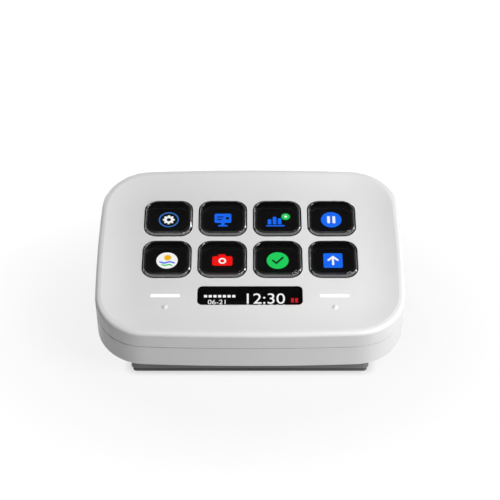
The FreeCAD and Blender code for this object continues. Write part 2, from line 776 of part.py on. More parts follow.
def info_display():
    """The small display glued behind the information window."""
    body = new_body("info_display")
    plan = new_sketch(body, "plan", INSERT_LOW)
    lap = cell("insert_lap")
    draw_box(plan, cell("window_width") + lap, cell("window_length") + lap, ZERO, -cell("window_drop"))
    pad(body, "case", plan, cell("info_thick"), backwards=True)
    place_on_slab(body)


def touch_board(label, side):
    """The small board under one light bar and one touch dot."""
    body = new_body(label)
    plan = new_sketch(body, "plan", TOUCH_TOP)
    middle = SIDE_PART * side
    draw_box(plan, cell("touch_width"), cell("touch_length"), middle, -TOUCH_DROP)
    pad(body, "board", plan, cell("touch_thick"), backwards=True)
    place_on_slab(body)


def lamp(label, side):
    """The lamp on a touch board, under the light bar."""
    body = new_body(label)
    plan = new_sketch(body, "plan", TOUCH_TOP)
    draw_box(plan, cell("lamp_width"), cell("lamp_length"), SIDE_PART * side, -cell("light_drop"))
    pad(body, "case", plan, cell("lamp_thick"))
    place_on_slab(body)


def touch_pad(label, side):
    """The conductive pad between a touch board and the plate, under the dot."""
    body = new_body(label)
    plan = new_sketch(body, "plan", TOUCH_TOP)
    draw_squares(plan, [(SIDE_PART * side, -cell("dot_drop"))], cell("touch_pad_width"))
    pad(body, "pad", plan, cell("touch_standoff"))
    place_on_slab(body)


def ribbon(label, width, points):
    """A flat cable: a bent strip drawn from the side."""
    body = new_body(label)
    side = new_sketch(body, "side", ZERO, "YZ_Plane")
    draw_polygon(side, points)
    pad(body, "strip", side, width, both_ways=True)
    place_on_slab(body)


def screen_ribbon():
    """From the display's front edge, out through the tray's gap and down to the main board."""
    thick = cell("ribbon_thick")
    edge = cell("rows_lift") - SCREEN_LENGTH / 2
    bend = RIBBON_BACK - cell("ribbon_reach")
    foot = bend + cell("ribbon_foot")
    low = SCREEN_LOW + thick * 2
    points = [
        (edge, low + thick),
        (bend, low + thick),
        (bend, BOARD_TOP),
        (foot, BOARD_TOP),
        (foot, BOARD_TOP + thick),
        (bend + thick, BOARD_TOP + thick),
        (bend + thick, low),
        (edge, low),
    ]
    ribbon("lcd_ribbon", cell("ribbon_width"), points)


def info_ribbon():
    """From the back of the small display down to the main board."""
    thick = cell("ribbon_thick")
    bend = -cell("window_drop") - cell("ribbon_reach")
    foot = bend + cell("ribbon_reach")
    points = [
        (foot, INFO_LOW),
        (bend, INFO_LOW),
        (bend, BOARD_TOP),
        (foot, BOARD_TOP),
        (foot, BOARD_TOP + thick),
        (bend + thick, BOARD_TOP + thick),
        (bend + thick, INFO_LOW - thick),
        (foot, INFO_LOW - thick),
    ]
    ribbon("info_ribbon", cell("info_ribbon_width"), points)


def screws(label, places, seat, shank, heads_down=False):
    """Like screws in one sub-part: heads on the seat, shanks away from it."""
    body = new_body(label)
    heads = new_sketch(body, "heads", seat)
    draw_posts(heads, places, cell("head_radius"))
    pad(body, "caps", heads, cell("head_thick"), backwards=heads_down)
    shanks = new_sketch(body, "shanks", seat)
    draw_posts(shanks, places, cell("screw_radius"))
    pad(body, "stems", shanks, shank, backwards=not heads_down)
    place_on_slab(body)


def all_screws():
    """Those that join the two shells, hold the main board and hold the stand."""
    head_seat = UNDERSIDE + cell("wall")
    shell_shank = SPLIT - head_seat + cell("screw_bite")
    screws("shell_screws", shell_boss_places(), head_seat, shell_shank, heads_down=True)
    screws("board_screws", board_boss_places(), BOARD_TOP, BOARD_TOP - BASE_FLOOR)
    screws("stand_screws", stand_boss_places(), BASE_FLOOR, cell("wall") + cell("screw_bite"))


def underside_height(back):
    """Height of the slab's flat underside above the floor, at a distance behind the slab's middle."""
    return cell("face_height") + (back * SIN - cell("slab_depth")) / COS


def tilted_sketch(body, name):
    """A sketch on the slab's underside, in the upright frame of the stand."""
    sketch = new_sketch(body, name)
    sketch.AttachmentOffset = FreeCAD.Placement(Vector(), FreeCAD.Rotation(Vector(1, 0, 0), 1.0))
    along = cell("slab_depth") * SIN - STAND_MIDDLE
    height = cell("face_height") - cell("slab_depth") * COS
    sketch.setExpression("AttachmentOffset.Base.y", along.formula)
    sketch.setExpression("AttachmentOffset.Base.z", height.formula)
    sketch.setExpression("AttachmentOffset.Rotation.Angle", cell("tilt").formula)
    return sketch


def stand_shell():
    """The wedge under the slab: walls and a floor, cut off along the slab's underside."""
    body = new_body("stand_shell")
    width, length = cell("stand_width"), cell("stand_length")
    half = length / 2 + OVERSHOOT
    rear = underside_height(STAND_MIDDLE + half)
    front = underside_height(STAND_MIDDLE - half)
    outline = new_sketch(body, "outline", cell("pad_thick"))
    draw_round_box(outline, width, length, cell("stand_corner"))
    pad(body, "block", outline, rear - cell("pad_thick"))
    cavity = new_sketch(body, "cavity", STAND_FLOOR)
    inner = cell("stand_wall") * 2
    draw_box(cavity, width - inner, length - inner)
    pocket_up(body, "hollow", cavity, rear - STAND_FLOOR)
    slope = new_sketch(body, "slope", ZERO, "YZ_Plane")
    top = rear + OVERSHOOT
    draw_polygon(slope, [(-half, front), (half, rear), (half, top), (-half, top)])
    pocket(body, "slope_cut", slope, width + OVERSHOOT, both_ways=True)
    for name, along in (("front", -cell("stand_boss_low")), ("rear", cell("stand_boss_high"))):
        places = [(cell("stand_boss_across") * side, along) for _, side in SIDES]
        back = along * COS + cell("slab_depth") * SIN
        post_length = (underside_height(back) - STAND_FLOOR) / COS + cell("boss_sink")
        rings = tilted_sketch(body, f"{name}_bosses")
        draw_posts(rings, places, cell("boss_radius"))
        pad(body, f"{name}_posts", rings, post_length, backwards=True)
    bores = tilted_sketch(body, "bores")
    draw_posts(bores, stand_boss_places(), SCREW_HOLE)
    pocket(body, "holes", bores, cell("screw_bite") + cell("wall") / 2)
    pegs = new_sketch(body, "pegs", STAND_FLOOR)
    draw_posts(pegs, peg_places(), cell("peg_radius"))
    pad(body, "weight_pegs", pegs, cell("weight_thick"))
    lug_seat = new_sketch(body, "lug_seat", cell("pad_thick"))
    draw_pad_lug(lug_seat, cell("pad_lug_inset") - cell("pad_lug_gap"))
    pocket_up(body, "lug_recess", lug_seat, cell("pad_lug"))
    place_upright(body)


def peg_places():
    """The two pegs that locate the weight."""
    return [(cell("peg_spread") * side, cell("weight_back")) for _, side in SIDES]


def draw_pad_lug(sketch, inset):
    """The raised middle of the pad, drawn in from the stand's outline."""
    draw_box(sketch, cell("stand_width") - inset * 2, cell("stand_length") - inset * 2)


def foot_pad():
    """The soft pad that the keypad stands on, with a lug that locates it under the stand."""
    body = new_body("foot_pad")
    plan = new_sketch(body, "plan")
    trim = cell("pad_inset") * 2
    corner = cell("stand_corner") - cell("pad_inset")
    draw_round_box(plan, cell("stand_width") - trim, cell("stand_length") - trim, corner)
    pad(body, "sole", plan, cell("pad_thick"))
    lug = new_sketch(body, "lug", cell("pad_thick"))
    draw_pad_lug(lug, cell("pad_lug_inset"))
    pad(body, "middle", lug, cell("pad_lug") - cell("pad_lug_gap"))
    place_upright(body)


def ballast_plate():
    """The steel weight on the stand's floor, over the two pegs."""
    body = new_body("ballast_plate")
    plan = new_sketch(body, "plan", STAND_FLOOR)
    draw_box(plan, cell("weight_width"), cell("weight_length"), ZERO, cell("weight_back"))
    pad(body, "plate", plan, cell("weight_thick"))
    bores = new_sketch(body, "bores", STAND_FLOOR)
    draw_posts(bores, peg_places(), cell("peg_radius") + cell("peg_gap"))
    pocket_up(body, "holes", bores, cell("weight_thick"))
    place_upright(body)


def build():
    """Make every sub-part in the document."""
    face_shell()
    base_shell()
    for number, (across, along) in enumerate(key_places(), 1):
        key_lens(f"key_lens_{number}", across, along)
        key_skirt(f"key_skirt_{number}", across, along)
    windowed_sheet("membrane_sheet", SHEET_TOP, cell("sheet_thick"))
    windowed_sheet("contact_film", FILM_TOP, cell("film_thick"))
    screen_panel()
    screen_tray()
    main_board()
    main_chip()
    usb_socket()
    flanged_insert(
        "info_lens",
        cell("window_width"),
        cell("window_length"),
        cell("window_corner"),
        ZERO,
        cell("window_drop"),
    )
    info_display()
    for name, side in SIDES:
        flanged_insert(
            f"light_bar_{name}",
            cell("light_width"),
            cell("light_length"),
            cell("light_corner"),
            SIDE_PART * side,
            cell("light_drop"),
        )
        touch_board(f"touch_board_{name}", side)
        lamp(f"led_{name}", side)
        touch_pad(f"touch_pad_{name}", side)
    screen_ribbon()
    info_ribbon()
    all_screws()
    stand_shell()
    foot_pad()
    ballast_plate()


def check(bodies):
    """Stop if a feature failed, a cut took nothing away or a shape is not sound."""
    for item in doc.Objects:
        if "Invalid" in item.State or "Error" in item.State:
            raise RuntimeError(f"{item.Name} failed: {item.State}")
        if item.TypeId in ("PartDesign::Pocket", "PartDesign::SubtractiveLoft"):
            if item.Shape.Volume > item.BaseFeature.Shape.Volume - 1e-3:
                raise RuntimeError(f"{item.Name} cuts nothing")
    for body in bodies:
        if body.Shape.isNull() or not body.Shape.isValid():
            raise RuntimeError(f"{body.Label} has no sound shape")


build()
doc.recompute()
sub_parts = [item for item in doc.Objects if item.TypeId == "PartDesign::Body"]
check(sub_parts)
os.makedirs("parts", exist_ok=True)
for sub_part in sub_parts:
    sub_part.Shape.exportStep(f"parts/{sub_part.Label}.step")
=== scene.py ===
"""Looks of a desk keypad: clear keys over lit pictures, a clock window, two light bars and a studio.

The keypad's slab leans back. Its own frame has U to the right, V up the slope and W out of the face,
with zero at the middle of the flat floor of the dished face. Lengths are metres.
"""

import math

import bpy
import numpy as np
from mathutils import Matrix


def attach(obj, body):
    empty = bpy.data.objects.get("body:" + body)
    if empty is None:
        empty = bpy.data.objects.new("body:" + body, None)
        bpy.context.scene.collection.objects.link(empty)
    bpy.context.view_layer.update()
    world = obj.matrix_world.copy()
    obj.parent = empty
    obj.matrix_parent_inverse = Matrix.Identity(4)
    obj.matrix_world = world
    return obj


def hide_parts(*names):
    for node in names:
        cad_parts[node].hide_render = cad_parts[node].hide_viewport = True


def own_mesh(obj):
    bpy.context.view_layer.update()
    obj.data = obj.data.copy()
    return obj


bl_info = {
    "name": "Desk Keypad Looks",
    "version": (1, 0, 0),
    "blender": (4, 5, 0),
    "location": "View3D > Sidebar > Keypad",
    "description": "Finishes, clear keys, lit pictures and a studio for a desk keypad",
    "category": "Object",
}

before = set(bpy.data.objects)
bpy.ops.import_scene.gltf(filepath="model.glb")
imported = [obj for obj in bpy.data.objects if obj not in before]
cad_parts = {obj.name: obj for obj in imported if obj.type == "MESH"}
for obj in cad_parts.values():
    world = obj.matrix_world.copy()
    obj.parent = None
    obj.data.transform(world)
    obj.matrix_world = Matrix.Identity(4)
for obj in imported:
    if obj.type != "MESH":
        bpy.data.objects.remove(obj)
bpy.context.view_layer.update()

KEYPAD_BODY = "keypad_body"
KEY_COUNT = 8
KEYS_PER_ROW = 4
MM = 0.001
HAIR = 0.00001  # play between faces that would lie in one plane
LAYER = 0.00003  # step from one layer of a lit picture to the next
PLATE = 0.9  # share of a layer that its plate fills
ROUND_STEPS = 48  # points round a circle
CORNER_STEPS = 9  # points round a quarter circle
BOX_STEPS = 6  # points round a corner of a drawn box
EDGE_STEPS = 4  # points over a key's eased corner
EDGE_GUARD = 1.7  # place of the flat faces' next points, in eases from the corner
DOT_TURN = 0.96 * math.pi / 2  # how far a touch dot's dome turns up
PICTURE_GAP = 4 * LAYER  # from a key's underside to its picture
CLOCK_GAP = 0.00002  # from the clock's display to its digits

# Finishes: repeats of their patterns in a metre, the depths of their relief in metres, and inner colours
SCALES = {
    "tone": 35.0,
    "grain": 3200.0,
    "dust": 900.0,
    "pits": 2600.0,
    "drawn": 900.0,
    "clouds": 260.0,
    "tracks": 320.0,
    "lacquer": 140.0,
    "copper": 320.0,
    "flow": 180.0,
    "cells": 2400.0,
    "lit_cells": 3000.0,
    "haze": 700.0,
    "speckle": 60.0,
}
TONE_CHANGE = 0.03
DEPTHS = {
    "grain": 0.00001,
    "pits": 0.00002,
    "drawn": 0.000008,
    "tracks": 0.00003,
    "copper": 0.00002,
    "flow": 0.000002,
}

BLACK_SILICONE = (0.004, 0.004, 0.0042)
AMBER_FILM, BARE_COPPER = (0.42, 0.16, 0.02), (0.62, 0.3, 0.08)
DARK_FILM, DARK_COPPER = (0.006, 0.006, 0.006), (0.02, 0.018, 0.015)

# The studio's lamps: name, place, side in metres and power in watts
LAMPS = (
    ("key_light", (0.3, -0.265, 0.33), 0.3, 2.97),
    ("top_light", (0.3, 0.02, 0.45), 0.3, 0.15),
    ("back_light", (-0.25, 0.4, 0.12), 0.3, 1.2),
)
LAMP_TARGET = (0, 0, 0.03)
CAMERA_TARGET = (0.0, -0.001723, 0.032274)
CAMERA_DOWN = math.radians(28.4)
CAMERA_AWAY = 0.582
CAMERA_LENS = 119.15
FLOOR_HALF, FLOOR_STEPS = 2.0, 9
# The seen floor's glow is lower near the keypad, a painted soft shadow round it, and rises to white further
# out
FLOOR_GLOW = {"From_Min": 0.06, "From_Max": 0.16, "To_Min": 0.865, "To_Max": 1.05}  # by distance
FLOOR_SHADE = 0.0035  # reach of the shade at the pad's edge
CEILING_FADE = {"From_Min": 0.35, "From_Max": 0.8, "To_Min": 1.0, "To_Max": 0.15}  # by height


def linear(red, green, blue):
    """The scene colour that shows as three numbers from 0 to 255."""
    share = np.array([red, green, blue]) / 255
    low, high = share / 12.92, ((share + 0.055) / 1.055) ** 2.4
    return tuple(float(x) for x in np.where(share <= 0.04045, low, high))


def length(name, description, default):
    """A size in metres that can be set in the sidebar."""
    units = {"subtype": "DISTANCE", "unit": "LENGTH", "precision": 5}
    return bpy.props.FloatProperty(name=name, description=description, default=default, min=0, **units)


def colour(name, description, default):
    """A scene colour that can be set in the sidebar."""
    return bpy.props.FloatVectorProperty(
        name=name, description=description, default=default, min=0, max=1, subtype="COLOR"
    )


class KeypadSizes(bpy.types.PropertyGroup):
    """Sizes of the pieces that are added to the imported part."""

    tilt: bpy.props.FloatProperty(
        name="Tilt",
        description="Lean of the face from level",
        default=math.radians(20),
        subtype="ANGLE",
        unit="ROTATION",
    )
    face_back: bpy.props.FloatProperty(
        name="Face place",
        description="Middle of the face along Y",
        default=-0.002475,
        subtype="DISTANCE",
        unit="LENGTH",
    )
    face_height: length("Face height", "Middle of the face above the floor", 0.032)
    key_pitch: length("Key pitch", "Distance from one key to the next", 0.0194)
    rows_lift: length("Rows lift", "How far the two rows stand up the slope from the middle", 0.0062)
    key_half: length("Key half width", "Half the side of a clear key", 0.0083)
    key_corner: length("Key corner", "Corner radius of a clear key", 0.0042)
    key_rise: length("Key rise", "How far a key stands out of the face", 0.0012)
    key_shoulder: length("Key shoulder", "Bevel round the top of a key", 0.00115)
    key_ease: length("Key edge", "How far a key's corners are eased", 0.00008)
    corner_fall: bpy.props.FloatProperty(
        name="Corner fall",
        description="Share of a key's inset that its corner radius loses",
        default=0.75,
    )
    corner_least: length("Least corner", "Least corner radius on a key's top", 0.0005)
    opening_half: length("Opening half width", "Half the side of a key's opening in the face", 0.0087)
    opening_corner: length("Opening corner", "Corner radius of a key's opening", 0.0046)
    plate_thick: length("Plate thickness", "Thickness of the face round the keys", 0.0018)
    frame_thick: length("Frame thickness", "Wall of the black liner in a key's opening", 0.0002)
    frame_lap: length("Frame lap", "How far the liner reaches round under the face", 0.00055)
    frame_lip: length("Frame lip", "Thickness of the liner under the face", 0.00005)
    frame_sink: length("Frame sink", "How far the liner stays below the face", 0.00004)
    flange_half: length("Flange half width", "Half the side of the flange that holds a key in", 0.00922)
    flange_corner: length("Flange corner", "Corner radius of the flange", 0.0037)
    flange_top: length("Flange top", "Depth of the flange's upper side", 0.0019)
    flange_low: length("Flange underside", "Depth of the flange's lower side", 0.0028)
    skirt_half: length("Skirt half width", "Half the side of an elastic skirt", 0.0089)
    skirt_corner: length("Skirt corner", "Corner radius of an elastic skirt", 0.0042)
    skirt_wall: length("Skirt wall", "Wall of a skirt's neck, and half that of its foot", 0.0005)
    skirt_foot: length("Skirt foot", "Height of a skirt's foot, to which the skirt flattens", 0.0005)
    skirt_travel: length("Skirt travel", "Height that a skirt loses when its key is pressed", 0.001)
    sheet_depth: length("Sheet depth", "Top of the sheet under the skirts, below the face", 0.0044)
    picture_shift: length("Picture shift", "A key's picture up the slope from its middle", 0.0004)
    dot_radius: length("Dot radius", "Radius of a touch dot", 0.00098)
    dot_height: length("Dot height", "How far a touch dot stands out of the face", 0.0005)
    dot_sink: length("Dot sink", "How far a touch dot reaches into the face", 0.00005)
    dot_drop: length("Dot drop", "Touch dots below the middle of the face", 0.0252)
    slab_half_width: length("Slab half width", "Half the width of the slab", 0.0535)
    slab_half_length: length("Slab half length", "Half the length of the slab", 0.039)
    slab_corner: length("Slab corner", "Corner radius of the slab", 0.0175)
    corner_share: bpy.props.FloatProperty(
        name="Corner share",
        description="Share of an inset that the slab's corner radius loses",
        default=0.6,
    )
    side_bow: length("Side bow", "Radius of the slab's bowed left and right sides", 0.57)
    end_bow: length("End bow", "Radius of the slab's bowed front and back", 0.84)
    # The seam's sizes place a dark strip of painted shade in the groove between the shells; the thread in
    # their descriptions is that strip
    seam_depth: length("Seam depth", "Middle of the seam below the face", 0.00555)
    seam_gap: length("Seam gap", "Height of the seam between the shells", 0.00028)
    seam_lip: length("Seam lip", "How far the seam's bottom lies in from the slab's wall", 0.00097)
    seam_thick: length("Seam thickness", "How far the thread stands out of the seam's bottom", 0.00085)
    clock_drop: length("Clock drop", "Middle of the clock's digits below the middle of the face", 0.0205)
    clock_depth: length("Clock depth", "Depth of the clock's display", 0.0026)


class KeypadColours(bpy.types.PropertyGroup):
    """Colours of the finishes."""

    shell: colour("Shell", "Moulded plastic of the two shells", (0.8, 0.8, 0.8))
    stand: colour("Stand", "Moulded plastic of the stand", (0.2, 0.2, 0.2))
    pad: colour("Pad", "Soft pad under the stand", (0.1, 0.1, 0.1))
    blue: colour("Blue", "Blue of the lit pictures", linear(19, 110, 255))
    ring: colour("Ring blue", "Paler blue of the first picture's ring", linear(55, 120, 205))
    red: colour("Red", "Red of the lit pictures", linear(255, 13, 8))
    dim_red: colour("Dim red", "Red of the mark beside the clock", linear(200, 34, 40))
    green: colour("Green", "Green of the lit pictures", linear(30, 215, 96))
    amber: colour("Amber", "Amber of the lit pictures", linear(251, 188, 5))
    white: colour("White", "White of the lit pictures", (1.0, 1.0, 1.0))
    black: colour("Black", "Dark parts inside the lit pictures", (0.008, 0.008, 0.009))
    solder_mask: colour("Solder mask", "Lacquer of the circuit boards", (0.02, 0.13, 0.06))


def sizes():
    return bpy.context.scene.keypad_sizes


def colours():
    return bpy.context.scene.keypad_colours


def place(across, along, out):
    """Points of the slab's frame in the row frame: the slope turns V and W by the tilt about X, then the
    middle of the face is added."""
    across, along, out = np.broadcast_arrays(np.asarray(across, float), along, out)
    cosine, sine = math.cos(sizes().tilt), math.sin(sizes().tilt)
    back = sizes().face_back + along * cosine - out * sine
    height = sizes().face_height + along * sine + out * cosine
    return np.stack([across, back, height], axis=-1)


def key_middle(number):
    """The middle of a key on the face, by its number from 0, left to right and top row first."""
    column, row = number % KEYS_PER_ROW, number // KEYS_PER_ROW
    across = (column - 1.5) * sizes().key_pitch
    return across, sizes().rows_lift + (0.5 - row) * sizes().key_pitch


def skin(rings, looped=False):
    """Points and faces of a closed surface through rows of points (row, column, xyz). Columns close round.
    The last row joins the first where the skin is looped, and otherwise each end closes to the mean of
    its row by a fan of triangles."""
    rows, around = rings.shape[:2]
    points = rings.reshape(-1, 3)
    index = np.arange(rows * around).reshape(rows, around)
    after = np.roll(index, -1, axis=1)
    if looped:
        index = np.vstack([index, index[:1]])
        after = np.vstack([after, after[:1]])
    faces = np.stack([index[:-1], after[:-1], after[1:], index[1:]], axis=-1).reshape(-1, 4).tolist()
    if not looped:
        centres = np.stack([rings[0].mean(axis=0), rings[-1].mean(axis=0)])
        first, last = np.full(around, len(points)), np.full(around, len(points) + 1)
        faces += np.stack([first, after[0], index[0]], axis=-1).tolist()
        faces += np.stack([last, index[-1], after[-1]], axis=-1).tolist()
        points = np.vstack([points, centres])
    return outward(points, faces)


def outward(points, faces):
    """The same surface with its faces turned outwards: the sum of the volumes under its triangles is
    positive where they point out."""
    corners = [points[[face[i] for face in faces]] for i in range(3)]
    volume = np.einsum("ij,ij->", corners[0], np.cross(corners[1], corners[2]))
    lengths = np.array([len(face) for face in faces])
    fours = points[[face[-1] for face in faces]]
    volume += np.einsum("ij,ij->i", corners[0], np.cross(corners[2], fours))[lengths == 4].sum()
    return points, faces if volume > 0 else [face[::-1] for face in faces]


def new_piece(name, parts, materials, body, smooth=True):
    """One object from parts, riding on a body. A part is its points, its faces and the number of its
    material, or one number for each face."""
    points = np.vstack([part[0] for part in parts])
    starts = np.cumsum([0] + [len(part[0]) for part in parts])
    faces = [[corner + start for corner in face] for start, part in zip(starts, parts) for face in part[1]]
    slots = np.concatenate([np.full(len(part[1]), part[2]) for part in parts])
    mesh = bpy.data.meshes.new(name)
    mesh.from_pydata(points.tolist(), [], faces)
    for material in materials:
        mesh.materials.append(material)
    mesh.polygons.foreach_set("material_index", slots.astype(np.int32))
    mesh.polygons.foreach_set("use_smooth", np.full(len(faces), smooth))
    mesh.update()
    piece = bpy.data.objects.new(name, mesh)
    bpy.context.scene.collection.objects.link(piece)
    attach(piece, body)
    return piece


def key_pieces(prefix, rings, materials, tones=0, moving=False):
    """One piece for each key from rows of points about its middle. Moving pieces have two closed ends and
    ride on their keys, and the others close round and ride on the keypad."""
    x, y, out = rings
    pieces = []
    for number in range(KEY_COUNT):
        across, along = key_middle(number)
        points, faces = skin(place(across + x, along + y, out[:, None]), not moving)
        name = f"{prefix}_{number + 1}"
        body = f"key_{number + 1}" if moving else KEYPAD_BODY
        piece = new_piece(name, [(points, faces, tones)], materials, body, smooth=moving)
        pieces.append(piece)
    return pieces


def round_box(half_x, half_y, corner, steps=CORNER_STEPS):
    """Outlines of boxes with round corners, anticlockwise: the centre of each corner plus the radius times
    the cosine and sine of an angle that turns a quarter at each corner. Each half size gives a row."""
    half_x, half_y, corner = (
        np.reshape(value, (-1, 1)).astype(float) for value in (half_x, half_y, corner)
    )
    quarter = np.arange(4).repeat(steps)
    angle = quarter * math.pi / 2 + np.tile(np.linspace(0, math.pi / 2, steps), 4)
    sign_x = np.array([1, -1, -1, 1])[quarter]
    sign_y = np.array([1, 1, -1, -1])[quarter]
    across = sign_x * (half_x - corner) + corner * np.cos(angle)
    along = sign_y * (half_y - corner) + corner * np.sin(angle)
    return across, along


def slab_outline(inset, steps=14):
    """Outline of the slab, drawn in by an inset, anticlockwise: four bowed sides and four round corners. A
    corner's centre is where two circles cross that lie one corner radius inside its two neighbours."""
    size = sizes()
    half_x, half_y = size.slab_half_width - inset, size.slab_half_length - inset
    side, end, corner = size.side_bow, size.end_bow, size.slab_corner - size.corner_share * inset
    low, right = np.array([0, end - half_y]), np.array([half_x - side, 0])
    away = np.linalg.norm(right - low)
    unit = (right - low) / away
    along = ((end - corner) ** 2 - (side - corner) ** 2 + away**2) / (2 * away)
    rise = math.sqrt((end - corner) ** 2 - along**2)
    centre = low + unit * along + np.array([-unit[1], unit[0]]) * rise
    low_turn = math.atan2(*(centre - low)[::-1])
    right_turn = math.atan2(*(centre - right)[::-1])
    arcs = [
        (low, end, -math.pi / 2, low_turn),
        (centre, corner, low_turn, right_turn),
        (right, side, right_turn, 0.0),
    ]
    pieces = []
    for middle, radius, first, last in arcs:
        turn = np.linspace(first, last, steps)[:-1]
        pieces.append(middle + radius * np.stack([np.cos(turn), np.sin(turn)], axis=1))
    quarter = np.vstack([*pieces, [[half_x, 0]]])
    half = np.vstack([quarter[:-1], (quarter * [1, -1])[:0:-1]])
    return np.vstack([half, -half]).T


def disc(across, along, radius):
    """Outline of a circle: radius times the cosine and sine of one turn."""
    angle = np.linspace(0, 2 * math.pi, ROUND_STEPS, endpoint=False)
    return across + radius * np.cos(angle), along + radius * np.sin(angle)


def box(across, along, half_x, half_y, corner):
    """Outline of one round-cornered box about a middle."""
    x, y = round_box(half_x, half_y, corner, BOX_STEPS)
    return across + x[0], along + y[0]


def bar(start, end, width):
    """Outline of a straight stroke with round ends: half a circle about each end point."""
    (x0, y0), (x1, y1) = start, end
    lean = math.atan2(y1 - y0, x1 - x0)
    half = np.linspace(-math.pi / 2, math.pi / 2, CORNER_STEPS)
    first = lean + math.pi + half
    last = lean + half
    radius = width / 2
    across = np.concatenate([x0 + radius * np.cos(first), x1 + radius * np.cos(last)])
    along = np.concatenate([y0 + radius * np.sin(first), y1 + radius * np.sin(last)])
    return across, along


def gear(radius, teeth):
    """Outline of a toothed wheel: the radius follows a wave with steep flanks, teeth times in a turn."""
    angle = np.linspace(0, 2 * math.pi, teeth * 16, endpoint=False)
    reach = radius * (0.89 + 0.11 * np.tanh(4 * np.cos(teeth * angle)))
    return reach * np.cos(angle), reach * np.sin(angle)


def tile(outline, layer):
    """A thin plate, its rows, their layers and whether it closes round: two copies of an outline."""
    across, along = outline
    return across[None], along[None], np.array([[layer - PLATE], [layer]]), False


def hoop(across, along, outer, inner, layer):
    """A thin ring, in the same terms: four circles, the outer two and the inner two."""
    x, y = np.stack([disc(across, along, radius) for radius in (outer, outer, inner, inner)], axis=1)
    return x, y, np.array([[layer - PLATE], [layer], [layer], [layer - PLATE]]), True


def strip(across, low, high, layer):
    """A thin band between two curves, in the same terms: a four-cornered section is carried from station
    to station."""
    x = np.stack([across] * 4, axis=1)
    y = np.stack([low, high, high, low], axis=1)
    return x, y, np.array([layer - PLATE, layer - PLATE, layer, layer]), False


def drawn(shape, across, along, level):
    """The closed skin of a shape that is drawn in millimetres about a place of the face, with its layers
    counted up from a level."""
    x, y, layers, looped = shape
    return skin(place(across + x * MM, along + y * MM, level + layers * LAYER), looped)


def new_material(name):
    """A material with nothing but its output, and a function that adds nodes to it."""
    material = bpy.data.materials.new(name)
    material.use_nodes = True
    material.node_tree.nodes.clear()
    return material, adder(material.node_tree)


def adder(tree):
    """A function that adds one node with its settings and inputs to a tree."""

    def add(kind, settings=None, **sockets):
        node = tree.nodes.new(kind)
        for key, value in (settings or {}).items():
            setattr(node, key, value)
        for key, value in sockets.items():
            connect(tree, node.inputs[key.replace("_", " ")], value)
        return node

    return add


def connect(tree, socket, value):
    """Set an input to a number or colour, or link it from another node's output."""
    if isinstance(value, bpy.types.NodeSocket):
        tree.links.new(value, socket)
    elif hasattr(value, "__len__") and len(value) == 3 and socket.type == "RGBA":
        socket.default_value = (*value, 1)
    else:
        socket.default_value = value


def surface(add, shader):
    """Link a shader to the material's output."""
    add("ShaderNodeOutputMaterial", Surface=shader.outputs[0])


def coordinates(add, stretch=(1, 1, 1), turn=(0, 0, 0)):
    """Object coordinates, stretched and turned for a pattern."""
    source = add("ShaderNodeTexCoord").outputs["Object"]
    return add("ShaderNodeMapping", Vector=source, Scale=stretch, Rotation=turn).outputs[0]


def noise(add, where, scale, detail=2.0):
    """A smooth random pattern from zero to one."""
    return add("ShaderNodeTexNoise", Vector=where, Scale=scale, Detail=detail).outputs["Fac"]


def between(add, share, low, high):
    """A number that runs from low to high with a pattern's share."""
    return add("ShaderNodeMapRange", Value=share, To_Min=low, To_Max=high).outputs[0]


def blend(add, share, first, second):
    """A colour that runs from the first to the second with a pattern's share."""
    node = add("ShaderNodeMix", {"data_type": "RGBA"})
    tree = node.id_data
    connect(tree, node.inputs[0], share)
    connect(tree, node.inputs[6], first)
    connect(tree, node.inputs[7], second)
    return node.outputs[2]


def relief(add, height, distance, strength=1.0):
    """A surface that a pattern lifts by at most a distance."""
    return add("ShaderNodeBump", Height=height, Distance=distance, Strength=strength).outputs[0]


def shade(tone, factor):
    """A colour times a factor, with no channel above one."""
    return tuple(min(1.0, channel * factor) for channel in tone)


def principled(add, **sockets):
    """Link a plain shader with these inputs to the material's output."""
    surface(add, add("ShaderNodeBsdfPrincipled", **sockets))


def grid_lines(add, where, scale, width, stagger=0.0):
    """One on the lines of a grid and zero in its cells."""
    node = add("ShaderNodeTexBrick", {"offset": stagger}, Vector=where, Scale=scale, Mortar_Size=width)
    return node.outputs["Fac"]


def on_slab(add):
    """Object coordinates turned to the slab's lean."""
    return coordinates(add, turn=(-sizes().tilt, 0, 0))


def moulded(name, tone, rough=0.42, grain=SCALES["grain"]):
    """Moulded plastic: a faint slow change of tone, uneven gloss and a fine spark-eroded grain."""
    material, add = new_material(name)
    where = coordinates(add)
    slow = noise(add, where, SCALES["tone"])
    fine = noise(add, where, grain, detail=4.0)
    principled(
        add,
        Base_Color=blend(add, slow, shade(tone, 1 - TONE_CHANGE), shade(tone, 1 + TONE_CHANGE)),
        Roughness=between(add, fine, rough - 0.06, rough + 0.08),
        Normal=relief(add, fine, DEPTHS["grain"]),
    )
    return material


def soft_rubber(name, tone, dusty=0.1, gloss=0.5):
    """Matt silicone: dull, slightly dusty, with a fine pitted skin."""
    material, add = new_material(name)
    where = coordinates(add)
    dust = noise(add, where, SCALES["dust"], detail=4.0)
    pits = add("ShaderNodeTexVoronoi", Vector=where, Scale=SCALES["pits"]).outputs["Distance"]
    principled(
        add,
        Base_Color=blend(add, dust, shade(tone, 0.85), shade(tone, 1.2)),
        Roughness=between(add, dust, 0.72, 0.9),
        Normal=relief(add, pits, DEPTHS["pits"]),
        Specular_IOR_Level=gloss,
        Sheen_Weight=dusty,
    )
    return material


def plated(name, tone, rough, stretch):
    """Plated or rolled metal: drawn lines along one direction and uneven gloss."""
    material, add = new_material(name)
    lines = noise(add, coordinates(add, stretch), SCALES["drawn"], detail=5.0)
    clouds = noise(add, coordinates(add), SCALES["clouds"], detail=3.0)
    principled(
        add,
        Base_Color=blend(add, clouds, shade(tone, 0.86), shade(tone, 1.08)),
        Metallic=1.0,
        Roughness=between(add, lines, rough - 0.08, rough + 0.12),
        Normal=relief(add, lines, DEPTHS["drawn"]),
    )
    return material


